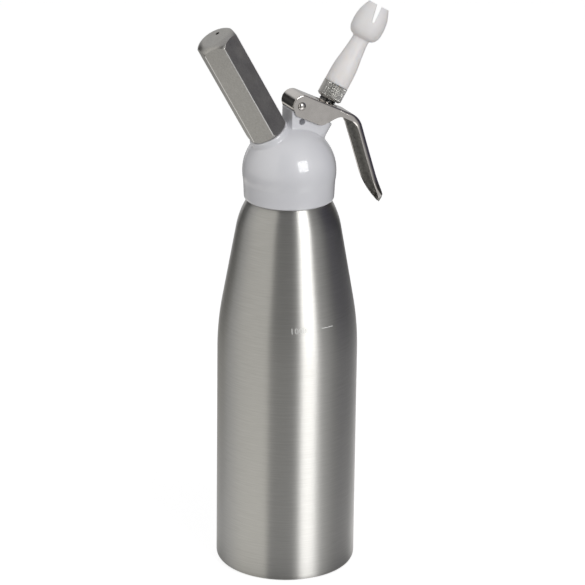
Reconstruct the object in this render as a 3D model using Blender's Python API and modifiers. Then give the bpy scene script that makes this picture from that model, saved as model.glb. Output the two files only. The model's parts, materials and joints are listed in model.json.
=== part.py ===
# Whipped cream dispenser, 1 litre: aluminium bottle, screwed head with a lever valve,
# a charger holder and a tulip nozzle. Metres, +Z up. The origin is the middle of the
# bottle's base, the lever and the nozzle lean towards +X, the charger holder towards -X.
import math

import bmesh
import bpy
from mathutils import Vector

for leftover in list(bpy.data.objects):
    bpy.data.objects.remove(leftover, do_unlink=True)

# Shared fits
SEAT_GAP = 0.0003
RUN_GAP = 0.0004
OVERRUN = 0.002
MERGE = 0.00001

# Bottle
BOTTLE_RADIUS = 0.045
BOTTLE_WALL = 0.0015
BASE_CORNER = 0.0042
SHOULDER_START = 0.146
SHOULDER_RADIUS = 0.190
CONE_ANGLE = math.radians(10.1)
SHOULDER_RUN = 0.082
SHOULDER_TOP_RADIUS = 0.052
SHOULDER_RISE = 0.0186
NECK_RADIUS = 0.0245
NECK_EDGE = 0.0009
NECK_HEIGHT = 0.0154

# Head: a dome round one centre, where the nozzle's and the holder's axes meet
DOME_RADIUS = 0.02975
DOME_CENTRE_RISE = 0.0182
RIM_RADIUS = 0.0286
RIM_EDGE = 0.0013
DOME_LOW_ANGLE = math.radians(-12)
CAVITY_RADIUS = 0.020
CAVITY_BORE = 0.0178
GASKET_THICKNESS = 0.002
GASKET_INSET = 0.0015

# Nozzle axis: places are distances from the dome's centre
NOZZLE_TILT = math.radians(31.1)
TOWER_RADIUS = 0.0076
TOWER_REACH = 0.0023
TOWER_TOP = 0.0385
TOWER_EDGE = 0.0006
SPRING_FLOOR = 0.028
SPRING_POCKET_RADIUS = 0.0069
VALVE_SEAT = 0.0215
SEAT_POCKET_RADIUS = 0.0092
SEAT_POCKET_LOW = 0.008
STEM_RADIUS = 0.0046
STEM_PASSAGE_GAP = 0.0006
BUSH_WALL = 0.0013
BUSH_LENGTH = 0.0032
BUSH_BORE_GAP = 0.0005
STEM_BORE = 0.0024
STEM_SCREW_RADIUS = 0.0035
STEM_TOP_RADIUS = 0.0055
STEM_TOP = 0.058
PORT_RADIUS = 0.0013
PORT_HEIGHT = 0.0229
COLLAR_RADIUS = 0.0074
COLLAR_THICKNESS = 0.0036
COLLAR_DROP = 0.0005
O_RING_WIRE = 0.0006
O_RING_HEIGHT = 0.0264
O_RING_GROOVE = 0.0013
PISTON_RADIUS = 0.0082
PISTON_THICKNESS = 0.003
PISTON_GASKET_THICKNESS = 0.003
PISTON_NUT_WIDTH = 0.011
PISTON_NUT_THICKNESS = 0.0033
PISTON_NUT_EDGE = 0.0003
SCREW_TAIL = 0.0008
SPRING_WIRE = 0.001
SPRING_TURNS = 6
SPRING_CURL_POINTS = 9
SPRING_SIDE_GAP = 0.0005

# Nozzle
RING_BOTTOM = 0.0513
RING_HEIGHT = 0.0101
RING_RADIUS = 0.0082
RING_CHAMFER = 0.0013
NOZZLE_SEAL_THICKNESS = 0.001
NOZZLE_LENGTH = 0.056
NOZZLE_ROOT_RADIUS = 0.0079
NOZZLE_NECK_RADIUS = 0.0053
NOZZLE_NECK_SHARE = 0.578
TULIP_RADIUS = 0.0109
TULIP_TIP_RADIUS = 0.007
NOZZLE_WALL = 0.0016
NOZZLE_PASSAGE = 0.0032
NOTCH_DEPTH = 0.0116
NOTCH_TIP_WIDTH = 0.0038
NOTCH_ROOT_WIDTH = 0.0016
NOTCH_TURN = math.radians(-31)

# Charger holder axis: places are distances from the dome's centre
HOLDER_TILT = math.radians(-29.5)
PAD_RADIUS = 0.013
PAD_TOP = 0.03075
PAD_EDGE = 0.0005
STUD_ROOT_RADIUS = 0.0077
STUD_ROOT_BOTTOM = 0.0253
STUD_RADIUS = 0.0106
STUD_TOP = 0.0425
STUD_EDGE = 0.0006
STUD_CUP_RADIUS = 0.0049
STUD_CUP_FLOOR = 0.034
PIN_BORE_RADIUS = 0.0022
PIN_TIP_RADIUS = 0.0003
PIN_FOOT = 0.0004
PIN_SEAL_THICKNESS = 0.0018
PIN_SEAL_BORE = 0.0025
GAS_BORE_RADIUS = 0.0018
CHECK_CAP_RADIUS = 0.0042
CHECK_CAP_THICKNESS = 0.0015
CHECK_FACE = 0.0208
CHECK_STEM_LENGTH = 0.003
HOLDER_ACROSS_FLATS = 0.0238
HOLDER_BORE_RADIUS = 0.0104
HOLDER_END_WALL = 0.0028
HOLDER_TOP_ROUND = 0.0065
HOLDER_CROWN_SPARE = 0.0003
HOLDER_FOOT_ROUND = 0.0028
HOLDER_FOOT_RISE = 0.0055
VENT_RADIUS = 0.001
VENT_OFFSET = 0.0033
SLEEVE_WALL = 0.00085
CHARGER_RADIUS = 0.00895
CHARGER_NECK_RADIUS = 0.0044
CHARGER_LENGTH = 0.065
CHARGER_NECK_LENGTH = 0.009
CHARGER_SHOULDER = 0.007
CHARGER_NECK_EDGE = 0.0008
CUSHION_RADIUS = 0.0085
CUSHION_THICKNESS = 0.001

# Lever: pressed sheet, its places are measured from the pivot pin
PIVOT_OUT = 0.0039
PIVOT_RISE = 0.0438
LEVER_WIDTH = 0.0186
SHEET = 0.0012
SHEET_BEND = 0.0014
NOSE_RADIUS = 0.0067
NOSE_OUT = 0.00095
NOSE_RISE = 0.00037
NOSE_START = math.radians(200)
PLATE_SLOPE = math.radians(26)
PLATE_LENGTH = 0.036
LOBE_DEPTH = 0.0143
LOBE_LENGTH = 0.0165
LOBE_RUN_OUT = 0.013
ARM_DEPTH = 0.0045
ARM_BEND_RADIUS = 0.013
ARM_SLOPE = math.radians(72.8)
ARM_STRAIGHT = 0.0358
ARM_SWEEP_RADIUS = 0.109
ARM_SWEEP = math.radians(10.8)
ARM_WIDTH = 0.017
TIP_LENGTH = 0.017
TIP_HALF_WIDTH = 0.0022
TIP_DEPTH = 0.0018
SLOT_HALF_WIDTH = 0.006
SLOT_LENGTH = 0.0156
PIN_RADIUS = 0.0018
PIN_HEAD_RADIUS = 0.0025
PIN_HEAD_HEIGHT = 0.0009

# Pivot block of the head
BLOCK_BACK = 0.0059
BLOCK_BACK_TOP = 0.0028
BLOCK_TOP_SLOPE = math.radians(38)
BLOCK_ROOT = 0.025
BLOCK_COLLAR_GAP = 0.0009
DRAIN_RADIUS = 0.002
DRAIN_OUT = 0.0011
DRAIN_DROP = 0.0106
DRAIN_DEPTH = 0.003

# How finely round pieces are drawn
BOTTLE_STEPS = 48
HEAD_STEPS = 40
MIDDLE_STEPS = 28
SMALL_STEPS = 20

# Sizes worked out from those above
CONE_END_HEIGHT = SHOULDER_START + SHOULDER_RUN
SHOULDER_TOP = CONE_END_HEIGHT + SHOULDER_RISE
DOME_CENTRE = SHOULDER_TOP + DOME_CENTRE_RISE + SEAT_GAP
RIM_HEIGHT = SHOULDER_TOP + SEAT_GAP
NECK_TOP = SHOULDER_TOP + NECK_HEIGHT
GASKET_SEAT = NECK_TOP + GASKET_THICKNESS + SEAT_GAP + SEAT_GAP
NECK_BORE = NECK_RADIUS + SEAT_GAP
HALF_WIDTH = LEVER_WIDTH / 2
INNER_HALF_WIDTH = HALF_WIDTH - SHEET
BLOCK_HALF_WIDTH = INNER_HALF_WIDTH - RUN_GAP
PIVOT = Vector((PIVOT_OUT, 0, DOME_CENTRE + PIVOT_RISE))
PIVOT_ALONG = PIVOT_OUT * math.sin(NOZZLE_TILT) + PIVOT_RISE * math.cos(NOZZLE_TILT)
PIVOT_ASIDE = PIVOT_RISE * math.sin(NOZZLE_TILT) - PIVOT_OUT * math.cos(NOZZLE_TILT)
PLATE_TOP = NOSE_RADIUS + NOSE_OUT * math.sin(PLATE_SLOPE) + NOSE_RISE * math.cos(PLATE_SLOPE)
PLATE_UNDER = PLATE_TOP - SHEET
PLATE_LEAN = NOZZLE_TILT - PLATE_SLOPE
PLATE_RISE = PLATE_UNDER / math.cos(PLATE_LEAN) + PIVOT_ASIDE * math.tan(PLATE_LEAN)
PLATE_ON_AXIS = PIVOT_ALONG + PLATE_RISE
COLLAR_TOP = PLATE_ON_AXIS - SEAT_GAP
COLLAR_BOTTOM = COLLAR_TOP - COLLAR_THICKNESS
PASSAGE_RADIUS = STEM_RADIUS + STEM_PASSAGE_GAP
BUSH_BORE = STEM_RADIUS + BUSH_BORE_GAP
BUSH_RADIUS = BUSH_BORE + BUSH_WALL
PISTON_TOP = VALVE_SEAT - PISTON_GASKET_THICKNESS - SEAT_GAP - SEAT_GAP
PISTON_BOTTOM = PISTON_TOP - PISTON_THICKNESS
PISTON_BORE = STEM_SCREW_RADIUS + SEAT_GAP
PISTON_NUT_TOP = PISTON_BOTTOM - SEAT_GAP
PISTON_NUT_BOTTOM = PISTON_NUT_TOP - PISTON_NUT_THICKNESS
SPRING_COIL_RADIUS = SPRING_POCKET_RADIUS - SPRING_SIDE_GAP - SPRING_WIRE / 2
SPRING_LOW = SPRING_FLOOR + SEAT_GAP + SPRING_WIRE / 2
SPRING_HIGH = COLLAR_BOTTOM - SEAT_GAP - SPRING_WIRE / 2
RING_TOP = RING_BOTTOM + RING_HEIGHT
RING_BORE = STEM_TOP_RADIUS + SEAT_GAP
NOZZLE_SEAL_BOTTOM = STEM_TOP + SEAT_GAP
SPIGOT_BOTTOM = NOZZLE_SEAL_BOTTOM + NOZZLE_SEAL_THICKNESS + SEAT_GAP
NOZZLE_ROOT = RING_TOP + SEAT_GAP
STUD_FOOT = PAD_TOP + SEAT_GAP
PIN_SEAL_BOTTOM = STUD_CUP_FLOOR + SEAT_GAP
CHARGER_BOTTOM = PIN_SEAL_BOTTOM + PIN_SEAL_THICKNESS + SEAT_GAP
CHARGER_TOP = CHARGER_BOTTOM + CHARGER_LENGTH
HOLDER_CORNER_RADIUS = HOLDER_ACROSS_FLATS / math.sqrt(3)
HOLDER_THREAD_BORE = STUD_RADIUS + SEAT_GAP
CUSHION_LOW = CHARGER_TOP + SEAT_GAP
CUSHION_HIGH = CUSHION_LOW + CUSHION_THICKNESS
HOLDER_FLOOR = CUSHION_HIGH + SEAT_GAP
HOLDER_TOP = HOLDER_FLOOR + HOLDER_END_WALL
SLEEVE_RADIUS = HOLDER_BORE_RADIUS - SEAT_GAP
PIN_HOLE_RADIUS = PIN_RADIUS + SEAT_GAP


def new_collection(name):
    """A collection linked to the scene."""
    collection = bpy.data.collections.new(name)
    bpy.context.scene.collection.children.link(collection)
    return collection


DISPENSER = new_collection("cream_dispenser")
CUTTERS = new_collection("cutters")


def paint(name, colour, roughness, metallic):
    """A plain Principled material."""
    material = bpy.data.materials.new(name)
    material.use_nodes = True
    shader = material.node_tree.nodes["Principled BSDF"]
    shader.inputs["Base Color"].default_value = (*colour, 1.0)
    shader.inputs["Roughness"].default_value = roughness
    shader.inputs["Metallic"].default_value = metallic
    return material


def add_object(name, data, parent=None, cutter=False):
    """Link an object into the dispenser, or as a wire guide into the cutters."""
    item = bpy.data.objects.new(name, data)
    (CUTTERS if cutter else DISPENSER).objects.link(item)
    item.parent = parent
    if cutter:
        item.hide_render = True
        item.display_type = "WIRE"
    return item


def add_axis(name, location, tilt=0.0):
    """An empty whose local Z is an axis that pieces sit on, tilted about Y."""
    empty = bpy.data.objects.new(name, None)
    DISPENSER.objects.link(empty)
    empty.location = location
    empty.rotation_euler = (0, tilt, 0)
    return empty


def arc(centre, radii, start, end, count):
    """Points on an elliptical arc from one angle to another, both ends included."""
    points = []
    for index in range(count + 1):
        angle = start + (end - start) * index / count
        points.append((centre[0] + radii[0] * math.cos(angle), centre[1] + radii[1] * math.sin(angle)))
    return points


def turned(name, profile, steps, parent=None, ring=False, cutter=False):
    """Turn a profile of (radius, height) points, given down the outer side, round local Z."""
    mesh = bpy.data.meshes.new(name)
    edges = [(index, index + 1) for index in range(len(profile) - 1)]
    if ring:
        edges.append((len(profile) - 1, 0))
    mesh.from_pydata([(radius, 0, height) for radius, height in profile], edges, [])
    item = add_object(name, mesh, parent, cutter)
    screw = item.modifiers.new("turn", "SCREW")
    screw.steps = steps
    screw.render_steps = steps
    screw.use_merge_vertices = True
    screw.merge_threshold = MERGE
    return item


def cut_from(item, tool, operation="DIFFERENCE"):
    """Cut a tool from a piece, join it or keep what both share."""
    boolean = item.modifiers.new(tool.name, "BOOLEAN")
    boolean.operation = operation
    boolean.object = tool


def settle(item, material, smooth_angle=math.radians(35)):
    """Turn the evaluated shape into the object's own mesh, with its material and shading."""
    bpy.context.view_layer.update()
    evaluated = item.evaluated_get(bpy.context.evaluated_depsgraph_get())
    mesh = bpy.data.meshes.new_from_object(evaluated)
    item.modifiers.clear()
    item.data = mesh
    mesh.materials.clear()
    mesh.materials.append(material)
    mesh.shade_smooth()
    mesh.set_sharp_from_angle(angle=smooth_angle)
    return item


def outline_solid(name, points, half_depth, cutter=False):
    """A solid from an outline in the XZ plane, as deep as needed each way along Y."""
    curve = bpy.data.curves.new(name, "CURVE")
    curve.dimensions = "2D"
    curve.fill_mode = "BOTH"
    curve.extrude = half_depth
    spline = curve.splines.new("POLY")
    spline.points.add(len(points) - 1)
    for spot, (across, height) in zip(spline.points, points):
        spot.co = (across, height, 0, 1)
    spline.use_cyclic_u = True
    drawn = bpy.data.objects.new(name + "_outline", curve)
    CUTTERS.objects.link(drawn)
    drawn.rotation_euler = (math.radians(90), 0, 0)
    bpy.context.view_layer.update()
    evaluated = drawn.evaluated_get(bpy.context.evaluated_depsgraph_get())
    mesh = bpy.data.meshes.new_from_object(evaluated)
    shape = bmesh.new()
    shape.from_mesh(mesh)
    bmesh.ops.remove_doubles(shape, verts=shape.verts, dist=MERGE)
    bmesh.ops.recalc_face_normals(shape, faces=shape.faces)
    shape.to_mesh(mesh)
    shape.free()
    item = add_object(name, mesh, None, cutter)
    item.matrix_world = drawn.matrix_world
    bpy.data.objects.remove(drawn)
    return item


def bar(name, radius, low, high, steps, parent=None, sides_turn=0.0, cutter=True):
    """A round or many-sided bar along local Z, between two heights."""
    shape = bmesh.new()
    length = high - low
    bmesh.ops.create_cone(shape, cap_ends=True, segments=steps, radius1=radius, radius2=radius, depth=length)
    bmesh.ops.translate(shape, verts=shape.verts, vec=(0, 0, (high + low) / 2))
    mesh = bpy.data.meshes.new(name)
    shape.to_mesh(mesh)
    shape.free()
    item = add_object(name, mesh, parent, cutter)
    item.rotation_euler = (0, 0, sides_turn)
    return item


def washer(name, inner, outer, low, high, steps, parent):
    """A flat ring between two heights on an axis."""
    return turned(name, [(outer, high), (outer, low), (inner, low), (inner, high)], steps, parent, ring=True)


def make_bottle():
    """One drawn shell: flat base, straight wall, long shoulder and screwed neck."""
    outline = [(NECK_RADIUS - NECK_EDGE, NECK_TOP), (NECK_RADIUS, NECK_TOP - NECK_EDGE)]
    curve_drop = SHOULDER_RADIUS * (1 - math.cos(CONE_ANGLE))
    curve_end = SHOULDER_START + SHOULDER_RADIUS * math.sin(CONE_ANGLE)
    cone_radius = BOTTLE_RADIUS - curve_drop - (CONE_END_HEIGHT - curve_end) * math.tan(CONE_ANGLE)
    top_centre = (
        cone_radius - SHOULDER_TOP_RADIUS * math.cos(CONE_ANGLE),
        CONE_END_HEIGHT - SHOULDER_TOP_RADIUS * math.sin(CONE_ANGLE),
    )
    crest = SHOULDER_TOP - SEAT_GAP
    top_angle = math.asin((crest - top_centre[1]) / SHOULDER_TOP_RADIUS)
    outline.append((NECK_RADIUS, SHOULDER_TOP))
    outline.append((NECK_RADIUS + NECK_EDGE, SHOULDER_TOP))
    outline += arc(top_centre, (SHOULDER_TOP_RADIUS, SHOULDER_TOP_RADIUS), top_angle, CONE_ANGLE, 4)
    curve_centre = (BOTTLE_RADIUS - SHOULDER_RADIUS, SHOULDER_START)
    outline += arc(curve_centre, (SHOULDER_RADIUS, SHOULDER_RADIUS), CONE_ANGLE, 0, 4)
    corner_centre = (BOTTLE_RADIUS - BASE_CORNER, BASE_CORNER)
    outline += arc(corner_centre, (BASE_CORNER, BASE_CORNER), 0, math.radians(-90), 3)
    outline.append((0, 0))
    bottle = turned("bottle", outline, BOTTLE_STEPS)
    wall = bottle.modifiers.new("wall", "SOLIDIFY")
    wall.thickness = BOTTLE_WALL
    wall.offset = -1
    wall.use_even_offset = True
    return settle(bottle, ALUMINIUM)


def head_profile():
    """The head's shell: dome outside, thread bore, gasket seat and domed cavity inside."""
    centre = (0, DOME_CENTRE)
    points = arc(centre, (DOME_RADIUS, DOME_RADIUS), math.radians(90), DOME_LOW_ANGLE, 13)
    points[0] = (0, DOME_CENTRE + DOME_RADIUS)
    rim_centre = (RIM_RADIUS - RIM_EDGE, RIM_HEIGHT + RIM_EDGE)
    points += arc(rim_centre, (RIM_EDGE, RIM_EDGE), 0, math.radians(-90), 3)
    points += [(NECK_BORE, RIM_HEIGHT), (NECK_BORE, GASKET_SEAT), (CAVITY_BORE, GASKET_SEAT)]
    dome_start = math.acos(CAVITY_BORE / CAVITY_RADIUS)
    points += arc(centre, (CAVITY_RADIUS, CAVITY_RADIUS), dome_start, math.radians(90), 6)
    points[-1] = (0, DOME_CENTRE + CAVITY_RADIUS)
    return points


def on_nozzle(along, aside):
    """A point of the XZ plane, given along the nozzle's axis and to its lever side."""
    return (
        along * math.sin(NOZZLE_TILT) + aside * math.cos(NOZZLE_TILT),
        DOME_CENTRE + along * math.cos(NOZZLE_TILT) - aside * math.sin(NOZZLE_TILT),
    )


def make_pivot_block():
    """The cast block between the dome and the pivot pin, rounded over the pin."""
    lobe_radius = NOSE_RADIUS - SHEET - math.hypot(NOSE_OUT, NOSE_RISE) - RUN_GAP
    back = PIVOT_OUT - BLOCK_BACK
    points = [(back, DOME_CENTRE + BLOCK_ROOT), (back, PIVOT.z - BLOCK_BACK_TOP)]
    lobe_start = math.pi + math.asin(BLOCK_BACK_TOP / lobe_radius)
    lobe_end = math.pi / 2 - BLOCK_TOP_SLOPE
    points += arc((PIVOT_OUT, PIVOT.z), (lobe_radius, lobe_radius), lobe_start, lobe_end, 8)
    shelf = -(COLLAR_RADIUS + BLOCK_COLLAR_GAP)
    slope_on_axis = BLOCK_TOP_SLOPE - NOZZLE_TILT
    lobe_along = PIVOT_ALONG + lobe_radius * math.cos(slope_on_axis)
    lobe_aside = lobe_radius * math.sin(slope_on_axis) - PIVOT_ASIDE
    shelf_along = lobe_along - (shelf - lobe_aside) * math.tan(slope_on_axis)
    points += [on_nozzle(shelf_along, shelf), on_nozzle(TOWER_TOP - TOWER_EDGE, shelf)]
    points += [on_nozzle(TOWER_TOP - TOWER_EDGE, TOWER_REACH), on_nozzle(BLOCK_ROOT, TOWER_REACH)]
    return outline_solid("pivot_block", points, BLOCK_HALF_WIDTH, cutter=True)


def make_head(nozzle_axis, holder_axis, pin_axis):
    """The cast head: dome, pivot block, valve tower and the holder's seat, bored for the valves."""
    head = turned("head_casting", head_profile(), HEAD_STEPS)
    wall_middle = (CAVITY_RADIUS + DOME_RADIUS) / 2
    tower_outline = [
        (0, TOWER_TOP),
        (TOWER_RADIUS - TOWER_EDGE, TOWER_TOP),
        (TOWER_RADIUS, TOWER_TOP - TOWER_EDGE),
        (TOWER_RADIUS, wall_middle),
        (0, wall_middle),
    ]
    for name, reach in (("tower", 0), ("tower_back", TOWER_REACH)):
        tower = turned(name, tower_outline, MIDDLE_STEPS, nozzle_axis, cutter=True)
        tower.location = (reach, 0, 0)
        cut_from(head, tower, "UNION")
    cut_from(head, make_pivot_block(), "UNION")
    pad_outline = [
        (0, PAD_TOP),
        (PAD_RADIUS - PAD_EDGE, PAD_TOP),
        (PAD_RADIUS, PAD_TOP - PAD_EDGE),
        (PAD_RADIUS, CAVITY_RADIUS + BOTTLE_WALL),
        (0, CAVITY_RADIUS + BOTTLE_WALL),
    ]
    cut_from(head, turned("holder_pad", pad_outline, MIDDLE_STEPS, holder_axis, cutter=True), "UNION")
    bush_floor = SPRING_FLOOR - BUSH_LENGTH - SEAT_GAP
    valve_bore = [
        (0, TOWER_TOP + OVERRUN),
        (SPRING_POCKET_RADIUS, TOWER_TOP + OVERRUN),
        (SPRING_POCKET_RADIUS, SPRING_FLOOR),
        (BUSH_RADIUS + SEAT_GAP, SPRING_FLOOR),
        (BUSH_RADIUS + SEAT_GAP, bush_floor),
        (PASSAGE_RADIUS, bush_floor),
        (PASSAGE_RADIUS, VALVE_SEAT),
        (SEAT_POCKET_RADIUS, VALVE_SEAT),
        (SEAT_POCKET_RADIUS, SEAT_POCKET_LOW),
        (0, SEAT_POCKET_LOW),
    ]
    cut_from(head, turned("valve_bore", valve_bore, SMALL_STEPS, nozzle_axis, cutter=True))
    stud_hole = STUD_ROOT_RADIUS + SEAT_GAP
    stud_floor = STUD_ROOT_BOTTOM - SEAT_GAP
    gas_bore = [
        (0, PAD_TOP + OVERRUN),
        (stud_hole, PAD_TOP + OVERRUN),
        (stud_hole, stud_floor),
        (GAS_BORE_RADIUS, stud_floor),
        (GAS_BORE_RADIUS, CHECK_FACE),
        (CHECK_CAP_RADIUS + RUN_GAP, CHECK_FACE),
        (CHECK_CAP_RADIUS + RUN_GAP, SEAT_POCKET_LOW),
        (0, SEAT_POCKET_LOW),
    ]
    cut_from(head, turned("gas_bore", gas_bore, SMALL_STEPS, holder_axis, cutter=True))
    reach = HALF_WIDTH + OVERRUN
    cut_from(head, bar("pin_bore", PIN_HOLE_RADIUS, -reach, reach, SMALL_STEPS, pin_axis))
    drain = bar("drain_hole", DRAIN_RADIUS, BLOCK_HALF_WIDTH - DRAIN_DEPTH, reach, SMALL_STEPS)
    drain.location = (PIVOT_OUT + DRAIN_OUT, 0, PIVOT.z - DRAIN_DROP)
    drain.rotation_euler = (math.radians(90), 0, 0)
    cut_from(head, drain)
    return settle(head, WHITE_ENAMEL)


def make_head_fittings(nozzle_axis, holder_axis, pin_axis):
    """What is screwed, pressed or laid into the head."""
    gasket_low = NECK_TOP + SEAT_GAP
    gasket_inner = CAVITY_BORE + GASKET_INSET
    gasket_high = gasket_low + GASKET_THICKNESS
    gasket = washer("head_gasket", gasket_inner, NECK_RADIUS, gasket_low, gasket_high, HEAD_STEPS, None)
    settle(gasket, SEAL_RUBBER)
    bush_low = SPRING_FLOOR - BUSH_LENGTH
    bush = washer("valve_bush", BUSH_BORE, BUSH_RADIUS, bush_low, SPRING_FLOOR, SMALL_STEPS, nozzle_axis)
    settle(bush, BRASS)
    stud_outline = [
        (STUD_RADIUS - STUD_EDGE, STUD_TOP),
        (STUD_RADIUS, STUD_TOP - STUD_EDGE),
        (STUD_RADIUS, STUD_FOOT),
        (STUD_ROOT_RADIUS, STUD_FOOT),
        (STUD_ROOT_RADIUS, STUD_ROOT_BOTTOM),
        (PIN_BORE_RADIUS, STUD_ROOT_BOTTOM),
        (PIN_BORE_RADIUS, STUD_CUP_FLOOR),
        (STUD_CUP_RADIUS, STUD_CUP_FLOOR),
        (STUD_CUP_RADIUS, STUD_TOP),
    ]
    settle(turned("charger_stud", stud_outline, MIDDLE_STEPS, holder_axis, ring=True), BRASS)
    pin_radius = PIN_BORE_RADIUS - SEAT_GAP
    pin_tip = CHARGER_BOTTOM - SEAT_GAP
    pin_outline = [
        (0, pin_tip),
        (PIN_TIP_RADIUS, pin_tip),
        (pin_radius, PIN_SEAL_BOTTOM),
        (pin_radius, STUD_ROOT_BOTTOM + PIN_FOOT),
        (0, STUD_ROOT_BOTTOM + PIN_FOOT),
    ]
    settle(turned("piercing_pin", pin_outline, SMALL_STEPS, holder_axis), STEEL)
    seal_top = PIN_SEAL_BOTTOM + PIN_SEAL_THICKNESS
    seal_radius = STUD_CUP_RADIUS - SEAT_GAP
    seal = washer("pin_seal", PIN_SEAL_BORE, seal_radius, PIN_SEAL_BOTTOM, seal_top, SMALL_STEPS, holder_axis)
    settle(seal, SEAL_RUBBER)
    cap_top = CHECK_FACE - SEAT_GAP
    check_stem = GAS_BORE_RADIUS - SEAT_GAP
    check_outline = [
        (0, cap_top + CHECK_STEM_LENGTH),
        (check_stem, cap_top + CHECK_STEM_LENGTH),
        (check_stem, cap_top),
        (CHECK_CAP_RADIUS, cap_top),
    ]
    check_outline += arc((0, cap_top), (CHECK_CAP_RADIUS, CHECK_CAP_THICKNESS), 0, math.radians(-90), 4)[1:]
    check_outline[-1] = (0, cap_top - CHECK_CAP_THICKNESS)
    settle(turned("check_valve", check_outline, SMALL_STEPS, holder_axis), SEAL_RUBBER)
    shoulder = HALF_WIDTH + SEAT_GAP
    dome = arc((0, shoulder), (PIN_HEAD_RADIUS, PIN_HEAD_HEIGHT), math.radians(90), 0, 4)
    dome[0] = (0, shoulder + PIN_HEAD_HEIGHT)
    pivot_outline = dome + [(PIN_RADIUS, shoulder)]
    pivot_outline += [(radius, -height) for radius, height in reversed(pivot_outline)]
    settle(turned("pivot_pin", pivot_outline, SMALL_STEPS, pin_axis), CHROME)


def make_valve(nozzle_axis):
    """The valve: hollow stem with its thrust collar, seal, piston and nut."""
    screw_low = PISTON_NUT_BOTTOM - SCREW_TAIL
    groove_radius = STEM_RADIUS - O_RING_GROOVE
    groove_half = O_RING_WIRE + SEAT_GAP
    crown_centre = (STEM_TOP_RADIUS, COLLAR_TOP - COLLAR_DROP)
    crown_radii = (COLLAR_RADIUS - STEM_TOP_RADIUS, COLLAR_DROP)
    stem_outline = [(STEM_TOP_RADIUS, STEM_TOP)]
    stem_outline += arc(crown_centre, crown_radii, math.radians(90), 0, 3)
    stem_outline += [
        (COLLAR_RADIUS, COLLAR_BOTTOM),
        (STEM_RADIUS, COLLAR_BOTTOM),
        (STEM_RADIUS, O_RING_HEIGHT + groove_half),
        (groove_radius, O_RING_HEIGHT + groove_half),
        (groove_radius, O_RING_HEIGHT - groove_half),
        (STEM_RADIUS, O_RING_HEIGHT - groove_half),
        (STEM_RADIUS, PISTON_TOP + SEAT_GAP),
        (STEM_SCREW_RADIUS, PISTON_TOP + SEAT_GAP),
        (STEM_SCREW_RADIUS, screw_low),
        (0, screw_low),
        (0, PORT_HEIGHT - PORT_RADIUS),
        (STEM_BORE, PORT_HEIGHT - PORT_RADIUS),
        (STEM_BORE, STEM_TOP),
    ]
    stem = turned("valve_stem", stem_outline, SMALL_STEPS, nozzle_axis, ring=True)
    for index, turn in enumerate((0, math.radians(90))):
        name = "port_%d" % index
        port = bar(name, PORT_RADIUS, -PISTON_RADIUS, PISTON_RADIUS, SMALL_STEPS // 2, nozzle_axis)
        port.location = (0, 0, PORT_HEIGHT + SEAT_GAP)
        port.rotation_euler = (math.radians(90), 0, turn)
        cut_from(stem, port)
    settle(stem, STEEL)
    ring_centre = (groove_radius + SEAT_GAP + O_RING_WIRE, O_RING_HEIGHT)
    ring_outline = arc(ring_centre, (O_RING_WIRE, O_RING_WIRE), math.radians(90), math.radians(-270), 8)[:-1]
    settle(turned("stem_o_ring", ring_outline, SMALL_STEPS, nozzle_axis, ring=True), SEAL_RUBBER)
    gasket_low = PISTON_TOP + SEAT_GAP
    gasket_high = gasket_low + PISTON_GASKET_THICKNESS
    gasket_bore = STEM_RADIUS + SEAT_GAP
    gasket = washer(
        "piston_gasket", gasket_bore, PISTON_RADIUS, gasket_low, gasket_high, SMALL_STEPS, nozzle_axis
    )
    settle(gasket, SEAL_RUBBER)
    piston = washer("piston", PISTON_BORE, PISTON_RADIUS, PISTON_BOTTOM, PISTON_TOP, SMALL_STEPS, nozzle_axis)
    settle(piston, STEEL)
    nut_corner = PISTON_NUT_WIDTH / math.sqrt(3)
    nut = bar("piston_nut", nut_corner, PISTON_NUT_BOTTOM, PISTON_NUT_TOP, 6, nozzle_axis, cutter=False)
    cut_from(nut, bar("nut_bore", PISTON_BORE, screw_low, PISTON_TOP, SMALL_STEPS, nozzle_axis))
    edge = nut.modifiers.new("edge", "BEVEL")
    edge.width = PISTON_NUT_EDGE
    edge.segments = 1
    edge.limit_method = "ANGLE"
    settle(nut, STEEL)


def least_gap(points, wire, per_curl):
    """The smallest clear distance of a coil to its own next curls."""
    nearest = None
    for index, point in enumerate(points):
        for other in points[index + per_curl // 2 + 1:]:
            distance = (point - other).length - wire
            nearest = distance if nearest is None else min(nearest, distance)
    return nearest


def make_spring(nozzle_axis):
    """The coil that lifts the valve shut, one unbroken wire."""
    count = SPRING_TURNS * SPRING_CURL_POINTS
    points = []
    for index in range(count + 1):
        turn = 2 * math.pi * index / SPRING_CURL_POINTS
        height = SPRING_LOW + (SPRING_HIGH - SPRING_LOW) * index / count
        across = SPRING_COIL_RADIUS * math.cos(turn)
        aside = SPRING_COIL_RADIUS * math.sin(turn)
        points.append(Vector((across, aside, height)))
    curve = bpy.data.curves.new("valve_spring", "CURVE")
    curve.dimensions = "3D"
    curve.bevel_depth = SPRING_WIRE / 2
    curve.bevel_resolution = 1
    curve.use_fill_caps = True
    spline = curve.splines.new("POLY")
    spline.points.add(count)
    for spot, point in zip(spline.points, points):
        spot.co = (*point, 1)
    item = add_object("valve_spring", curve, nozzle_axis)
    curve.materials.append(STEEL)
    gap = least_gap(points, SPRING_WIRE, SPRING_CURL_POINTS)
    print("valve_spring least gap to itself: %.2f mm" % (1000 * gap))
    return item


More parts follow.
